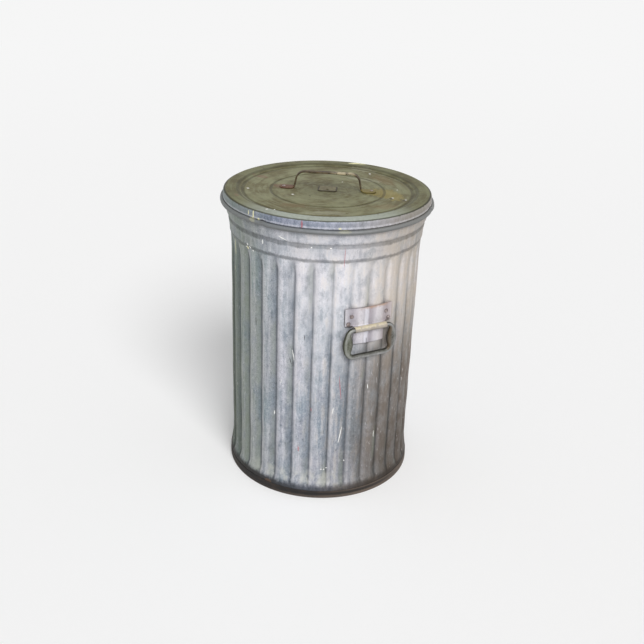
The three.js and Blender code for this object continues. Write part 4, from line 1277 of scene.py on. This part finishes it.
def skirt_colour(paint, zinc, coat):
    """Blue-grey mottled zinc, warmer on the right, with a paler roll that is black underneath. The greenish
    left and warm right are painted reflections, the front and the skirt's lower edge carry painted
    highlights, and the crevice above the roll and the black under it are painted shade.
    """
    colour = paint.tinted(1.0, zinc, shade(192, 198, 210))
    # Painted reflections: greenish on the left, warm on the right.
    colour = paint.mix(paint.facing(-80, 56) * 0.6, colour, shade(128, 138, 122))
    colour = paint.mix(paint.facing(62, 62) * 0.7, colour, shade(150, 140, 122))
    # Painted highlight on the front.
    colour = paint.mix(paint.facing(12, 40) * coat["mottle"] * 0.5, colour, shade(190, 188, 198))
    # Painted highlight along the skirt's lower edge.
    colour = paint.mix(paint.band(paint.z, 684, 3) * (coat["mottle"] - 0.2) * 0.9, colour, PALE)
    ragged = paint.z + (coat["mottle"] - 0.5) * 3
    # Painted shade in the crevice above the roll.
    colour = paint.tinted(paint.band(ragged, 681.2, 1.4) * 0.45, colour, shade(120, 118, 116))
    colour = paint.tinted(paint.smooth(paint.z, 683, 680) * 0.5, colour, shade(206, 202, 190))
    # Painted shade, nearly black, under the roll.
    return paint.mix(paint.smooth(ragged, 678, 673.5) * 0.82, colour, shade(58, 54, 48))


def lid_paint():
    """The top's patina inside the shoulder's edge and the skirt's zinc outside it, each with its marks."""
    paint = Paint("lid_patina")
    zinc, coat = zinc_coat(paint, 3)
    top, fine = lid_top_colour(paint, coat)
    on_top = paint.smooth(paint.radius + (coat["mottle"] - 0.5) * 3, 237.6, 236.2)
    colour = paint.mix(on_top, skirt_colour(paint, zinc, coat), top)
    fray = (coat["grain"] - 0.5) * 1.4
    colour = marked(paint, colour, top_marks, LID_MARKS, fray, on_top)
    colour = marked(paint, colour, side_marks, SKIRT_MARKS, fray, 1 - on_top)
    colour = paint.mix(paint.attribute("under") * 0.8, colour, shade(118, 120, 120))
    return paint.finish(colour, 0.48 + 0.25 * fine, 0.3, coat["relief"] + fine, 0.4)


lid_finish = lid_paint()
print("nodes in the lid's finish:", len(lid_finish.node_tree.nodes))

# %% [markdown]
# ## The base's finish
#
# The hoop has rusted black, and round to the right the black fades to brown. The bead at the very foot is
# rubbed pale by the floor, with a painted highlight on its front, and the groove above it has painted shade
# on the front.


# %% Base finish
def base_paint():
    """Black rust, browner to the right, with painted shade in the groove above the bead, and wear and a
    painted highlight on the bead.
    """
    paint = Paint("rusted_hoop")
    cloud, grain = paint.noise(26, detail=5, shift=1.7), paint.noise(2.2, detail=3, shift=8.0)
    colour = paint.mix(paint.smooth(cloud, 0.42, 0.66), shade(30, 27, 26), shade(50, 42, 37))
    right = paint.facing(66, 74)
    colour = paint.mix(right * (0.45 + 0.5 * cloud), colour, shade(98, 86, 76))
    ragged = paint.z + (grain - 0.5) * 3
    front = paint.facing(16, 50)
    # Painted shade in the groove above the bead, on the front.
    colour = paint.mix(paint.band(ragged, 12, 5) * front * 0.85, colour, shade(24, 21, 20))
    # Wear on the bead all round, and a painted highlight on its front.
    bead = paint.smooth(ragged, 8, 5) * (0.2 + 0.6 * front)
    colour = paint.mix(bead * (0.3 + 0.5 * grain), colour, shade(108, 96, 86))
    return paint.finish(colour, 0.6 + 0.2 * cloud, 0.25, cloud + grain, 0.3)


base_finish = base_paint()

# %% [markdown]
# ## The brackets' finish
#
# A bracket is zinc like the wall behind it. Its top edge has rusted where water sits on it. Cream paint has
# been brushed along the barrel and laid fuller towards its top, where it is also a painted highlight, and
# painted shade lies under the barrel. The plate has painted stripes of shade where it bends over the flutes
# and a painted highlight down one band, and painted shadow outlines its sides and lower corners. One finish
# serves both sides: it measures sideways with the sign of x, so that a pattern turns round with its bracket.


# %% Bracket finish
BRACKET_SPOTS = [  # distance sideways, height, two half sizes and turn of the dark seats of the rivets
    (-50.5, 456.5, 5.6, 5.6, 0), (50.5, 456.5, 5.6, 5.6, 0),
    (-43.5, 474, 5.2, 5.2, 0), (43.5, 474, 5.2, 5.2, 0),
]


def plate_layers(paint, colour, coat, side, above):
    """The flat plate: warmer to the right, with painted stripes of shade where it bends over the flutes
    behind it and a painted highlight down one band, rusted along its top edge.
    """
    colour = paint.mix(0.25 + 0.5 * coat["patches"], colour, shade(226, 218, 220))
    warm = paint.smooth(side, 5, 55) * (0.2 + 0.5 * coat["mottle"])
    colour = paint.mix(warm, colour, shade(206, 186, 176))
    # Painted shade in stripes, where the plate bends over the flutes.
    stripes = (side * (FLUTES / BRACKET_R)).math("COSINE") * 0.5 + 0.5
    colour = paint.tinted(stripes * 0.7, colour, shade(184, 178, 184))
    # Painted highlight down one band of the plate.
    bright = paint.band(side + (coat["mottle"] - 0.5) * 6, -8, 7)
    colour = paint.mix(bright * 0.5, colour, shade(234, 234, 242))
    edge = paint.smooth(above + (coat["mottle"] - 0.5) * 16, 8, 1)
    colour = paint.mix(edge * paint.band(side, 14, 46) * 0.6, colour, shade(176, 136, 100))
    specks = paint.smooth(coat["grain"], 0.56, 0.64) * paint.smooth(above, 34, 6) * paint.band(side, -12, 34)
    return paint.mix(specks * 0.45, colour, RUST)


def barrel_layers(paint, colour, coat):
    """The barrel: dull zinc with cream paint brushed over it, fuller towards the top as a painted highlight,
    and painted shade underneath.
    """
    on_barrel = paint.smooth(paint.x.math("ABSOLUTE"), BRACKET_R + 2.5, BRACKET_R + 4)
    colour = paint.mix(on_barrel * 0.8, colour, shade(156, 146, 130))
    # Cream paint, laid fuller towards the top of the barrel as a painted highlight.
    cream = on_barrel * paint.smooth(coat["mottle"] + (paint.z - PIVOT[2]) * 0.03, 0.5, 0.74)
    colour = paint.mix(cream * 0.7, colour, shade(214, 203, 170))
    # Painted shade under the barrel.
    return paint.mix(on_barrel * paint.smooth(paint.z, PIVOT[2] - 2, PIVOT[2] - 6) * 0.8, colour, GRIME)


def bracket_paint():
    """Zinc, then the layers of the plate and the barrel, painted shadow along the outline, and the rivets'
    seats.
    """
    paint = Paint("bracket_zinc")
    colour, coat = zinc_coat(paint, 9)
    side = paint.y * paint.x.math("SIGN")
    from_middle = side.math("ABSOLUTE")
    above, below = BRACKET_HIGH - paint.z, paint.z - (PIVOT[2] + BARREL_MID)
    colour = plate_layers(paint, colour, coat, side, above)
    colour = barrel_layers(paint, colour, coat)
    # Painted shadow along the plate's sides, its top edge, its lower corners beside the barrel and the
    # flange's lower edge, deeper on the left.
    outline = any_of([
        paint.smooth(from_middle, PLATE_HALF - 2.0, PLATE_HALF - 0.6),
        paint.smooth(above, 1.6, 0.5) * 0.6,
        paint.smooth(below, 2.2, 0.6) * paint.smooth(from_middle, BARREL_HALF, BARREL_HALF + 2) * 0.9,
        paint.smooth(paint.z, BRACKET_LOW + 2.2, BRACKET_LOW + 0.8) * 0.7,
    ])
    colour = paint.mix(outline * (0.55 + 0.45 * paint.smooth(side, 10, -20)), colour, shade(66, 58, 54))
    fray = (coat["grain"] - 0.5) * 1.4
    seats = [oval(paint, side - y, paint.z - z, (a, b), turn, fray) for y, z, a, b, turn in BRACKET_SPOTS]
    colour = paint.mix(any_of(seats) * 0.6, colour, shade(92, 74, 68))
    # A dark vertical line down the flange.
    flange_line = oval(paint, side + 6, paint.z - 411, (1.0, 8), 4, fray)
    colour = paint.mix(flange_line * 0.8, colour, SOOT)
    return paint.finish(colour, 0.42 + 0.3 * coat["patches"], 0.3, coat["relief"] + coat["mottle"], 0.35)


bracket_finish = bracket_paint()
print("nodes in the bracket's finish:", len(bracket_finish.node_tree.nodes))

# %% [markdown]
# ## The steel handles
#
# The pressed handles were never galvanized as thickly as the sheet. They are dark and greenish, with dirt
# and painted shade in the furrow of their arms, painted shade along their outline and behind, and wear and a
# painted highlight along the ribs where hands and the wall rub them. The strap on the lid has gone brown,
# and is rubbed bright where it is gripped.


# %% Handle finishes
def drop_paint():
    """Dark green-grey steel, worn and with a painted highlight along the ribs, dirt and painted shade in the
    furrow, and painted shade along the outline and on the back.
    """
    paint = Paint("drop_handle_steel")
    cloud, grain = paint.noise(9, detail=5, rough=0.6, shift=1.7), paint.noise(1.8, detail=3, shift=8.0)
    middle, front, inner = (paint.attribute(name) for name in ("middle", "front", "inner"))
    side = paint.y * paint.x.math("SIGN")
    colour = paint.mix(paint.smooth(cloud, 0.4, 0.62), shade(68, 68, 61), shade(98, 98, 93))
    colour = paint.mix(paint.smooth(grain, 0.5, 0.66) * 0.6, colour, shade(134, 134, 132))
    colour = paint.mix(paint.smooth(side, -40, -60) * 0.4, colour, shade(112, 120, 88))
    # Wear and a painted highlight on the ribs that face out from the wall.
    worn = paint.smooth(front, 0.4, 0.9) * (1 - middle) * paint.smooth(inner, 0.5, 0.0)
    colour = paint.mix(worn * (0.25 + 0.5 * cloud), colour, shade(174, 174, 174))
    # Dirt and painted shade in the furrow.
    furrow = middle * paint.smooth(front, 0.1, 0.7)
    colour = paint.mix(furrow * paint.smooth(grain, 0.56, 0.42) * 0.75, colour, shade(70, 68, 58))
    # Painted shade along the outline and on the back, which faces the wall.
    outline = paint.smooth(inner, 0.62, 0.86).or_(paint.smooth(inner, -0.72, -0.94))
    outline = outline.or_(paint.smooth(front, 0.3, -0.2))
    colour = paint.mix(outline * 0.8, colour, shade(44, 42, 36))
    arm = paint.smooth(side, 42, 48) * paint.smooth(inner, -0.1, 0.4) * paint.smooth(front, -0.3, 0.2)
    colour = paint.mix(arm * 0.45, colour, shade(104, 82, 54))
    return paint.finish(colour, 0.4 + 0.25 * cloud, 0.45, cloud + grain * 0.6, 0.35)


def strap_paint():
    """Brown oxide, rubbed bright on one stretch of the grip, with a red foot and a yellow one."""
    paint = Paint("brown_strap")
    cloud, grain = paint.noise(11, detail=5, rough=0.62, shift=1.7), paint.noise(1.8, detail=3, shift=8.0)
    along = paint.along(LID_TURN)
    colour = paint.mix(paint.smooth(cloud, 0.38, 0.64), shade(58, 46, 30), shade(96, 82, 58))
    worn = paint.band(along, 36, 34) * paint.smooth(paint.z, PANEL_Z + 36, PANEL_Z + 40)
    colour = paint.mix(worn * paint.smooth(cloud, 0.34, 0.5) * 0.85, colour, shade(196, 184, 152))
    foot = paint.smooth(paint.z, PANEL_Z + 8, PANEL_Z + 4)
    colour = paint.mix(foot * paint.smooth(along, -60, -80) * 0.6, colour, shade(112, 74, 58))
    colour = paint.mix(foot * paint.smooth(along, 60, 80) * 0.6, colour, shade(136, 124, 66))
    return paint.finish(colour, 0.5 + 0.2 * cloud, 0.3, cloud + grain * 0.6, 0.3)


drop_finish, grip_finish = drop_paint(), strap_paint()

# %% [markdown]
# ## The small plate, and the plainer finishes
#
# The small plate has the lid's patina, with dirt and painted shadow along its edges. Bottom, wires and
# rivets are little seen, and share one simple recipe of two colours and a cloud.


# %% Plainer finishes
def plate_paint():
    """The lid's patina, dark towards the edges: where either distance nears the plate's half size."""
    paint = Paint("small_plate")
    cloud, grain = paint.noise(10, detail=5, shift=3.3), paint.noise(1.8, detail=3, shift=8.0)
    along, across = (paint.along(LID_TURN + turn).math("ABSOLUTE") for turn in (0, 90))
    edge = paint.smooth((along / PLATE_HALF_X).or_(across / PLATE_HALF_Y), 0.8, 0.93)
    colour = paint.mix(paint.smooth(cloud, 0.38, 0.62), shade(96, 88, 62), shade(124, 118, 90))
    # Dirt and painted shadow along the plate's edges.
    colour = paint.mix(edge * 0.9, colour, shade(44, 36, 26))
    return paint.finish(colour, 0.5 + 0.2 * cloud, 0.3, cloud + grain * 0.6, 0.25)


def worn_metal(name, dark, light, size):
    """Clouds of about the given size between a dark and a light tone."""
    paint = Paint(name)
    cloud, grain = paint.noise(size, detail=5, shift=1.7), paint.noise(1.4, detail=2, shift=8.0)
    colour = paint.mix(paint.smooth(cloud, 0.4, 0.65), dark, light)
    return paint.finish(colour, 0.5 + 0.2 * cloud, 0.35, cloud + grain * 0.5, 0.2)


plate_finish = plate_paint()
bottom_finish = worn_metal("dull_bottom", shade(96, 96, 94), shade(146, 146, 144), 60)
rivet_finish = worn_metal("rivet_steel", shade(118, 106, 104), shade(168, 156, 152), 5)
wire_finish = worn_metal("plain_wire", shade(60, 56, 52), shade(110, 108, 106), 20)
print("finishes made")

# %% [markdown]
# ## Which piece is what
#
# Each piece takes its finish, rides on the body of the frame that carries it, and stands for its node.


# %% Assembly
def dressed(piece, finish, body, node):
    """Gives a piece its finish, the body it rides on and the node it stands for."""
    piece.data.materials.append(finish)
    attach(piece, body)
    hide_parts(node)


dressed(wall, wall_finish, "can", "body_wall")
dressed(seam, wall_finish, "can", "body_wall")
dressed(hoop, base_finish, "can", "base_hoop")
dressed(pan, bottom_finish, "can", "bottom_pan")
dressed(rim_wire, wire_finish, "can", "rim_wire")
dressed(lid, lid_finish, "lid", "lid_pan")
dressed(lid_wire, wire_finish, "lid", "lid_rim_wire")
dressed(lid_handle, grip_finish, "lid", "lid_handle")
dressed(plate, plate_finish, "lid", "lid_centre_plate")
for side, bracket, drop in zip(("right", "left"), brackets, drops):
    dressed(bracket, bracket_finish, "can", f"handle_bracket_{side}")
    dressed(drop, drop_finish, f"bail_{side}", f"handle_bail_{side}")
for name, piece in rivets.items():
    dressed(piece, rivet_finish, "lid" if "lid" in name else "can", name)

# %% [markdown]
# ## Floor and light
#
# The can stands on a pale floor in soft studio light: one broad lamp in front and to the right, and a plain
# pale surround. What the camera and the metal see of the surround is nearly white, and what lights
# the can is weaker, so that the flutes keep their shade.

# %% Light
KEY_AZIMUTH, KEY_HEIGHT, KEY_STRENGTH, KEY_SPREAD = VIEW_AZIMUTH + 18, 42, 2.5, 30
LAMP_DISTANCE = 5  # metres; a sun lamp shines the same from anywhere
SURROUND_LIGHT, SURROUND_SEEN = 0.36, 0.92
WHITE = (1, 1, 1, 1)
FLOOR_HALF, FLOOR_GLOW = 40.0, 0.1
FLOOR_TONE, FLOOR_ROUGHNESS = (0.88, 0.88, 0.88, 1), 0.9
FLOOR_NEAR, FLOOR_FAR = 1.2, 7.0  # between these distances the floor fades into the surround


def lit_world():
    """A white surround, brighter for what the camera and the gloss see than for what lights the can."""
    world = Tree(bpy.data.worlds.new("surround"))
    camera_ray, glossy_ray = (
        world.node("ShaderNodeLightPath", {}, {}, f"Is {kind} Ray") for kind in ("Camera", "Glossy")
    )
    strength = SURROUND_LIGHT + camera_ray.or_(glossy_ray) * (SURROUND_SEEN - SURROUND_LIGHT)
    sky = world.node("ShaderNodeBackground", {}, {"Color": WHITE, "Strength": strength})
    world.node("ShaderNodeOutputWorld", {}, {"Surface": sky}, None)
    return world.owner


def key_lamp():
    """A broad sun in front of the can and to its right."""
    lamp = bpy.data.lights.new("key", "SUN")
    lamp.energy = KEY_STRENGTH
    lamp.angle = math.radians(KEY_SPREAD)
    return aimed(added("key", lamp), KEY_AZIMUTH, KEY_HEIGHT, LAMP_DISTANCE, VIEW_TARGET)


def pale_floor():
    """A wide square. Near the can it is a matt floor that takes the shadow, and far off it has the same
    glow as the surround, so that no horizon shows. From below it is clear, which lets the can's underside
    be looked at."""
    corners = np.array([(-1, -1, 0), (1, -1, 0), (1, 1, 0), (-1, 1, 0)], float) * FLOOR_HALF
    mesh = bpy.data.meshes.new("floor")
    mesh.from_pydata(corners.tolist(), [], [(0, 1, 2, 3)])
    floor = added("floor", mesh)
    paint = Paint("pale_floor")
    matt = {"Base Color": FLOOR_TONE, "Roughness": FLOOR_ROUGHNESS, "Emission Color": WHITE}
    near = paint.node("ShaderNodeBsdfPrincipled", {}, {**matt, "Emission Strength": FLOOR_GLOW})
    far = paint.node("ShaderNodeEmission", {}, {"Strength": SURROUND_SEEN})
    fade = paint.smooth(paint.radius * MM, FLOOR_NEAR, FLOOR_FAR)
    upper = paint.node("ShaderNodeMixShader", {}, {0: fade, 1: near, 2: far})
    under = paint.node("ShaderNodeNewGeometry", {}, {}, "Backfacing")
    clear = paint.node("ShaderNodeBsdfTransparent", {}, {})
    shader = paint.node("ShaderNodeMixShader", {}, {0: under, 1: upper, 2: clear})
    mesh.materials.append(paint.closed(shader))
    return floor


bpy.context.scene.world = lit_world()
lamp, floor = key_lamp(), pale_floor()
bpy.context.scene.view_settings.view_transform = "Standard"
print("placed:", lamp.name, floor.name)
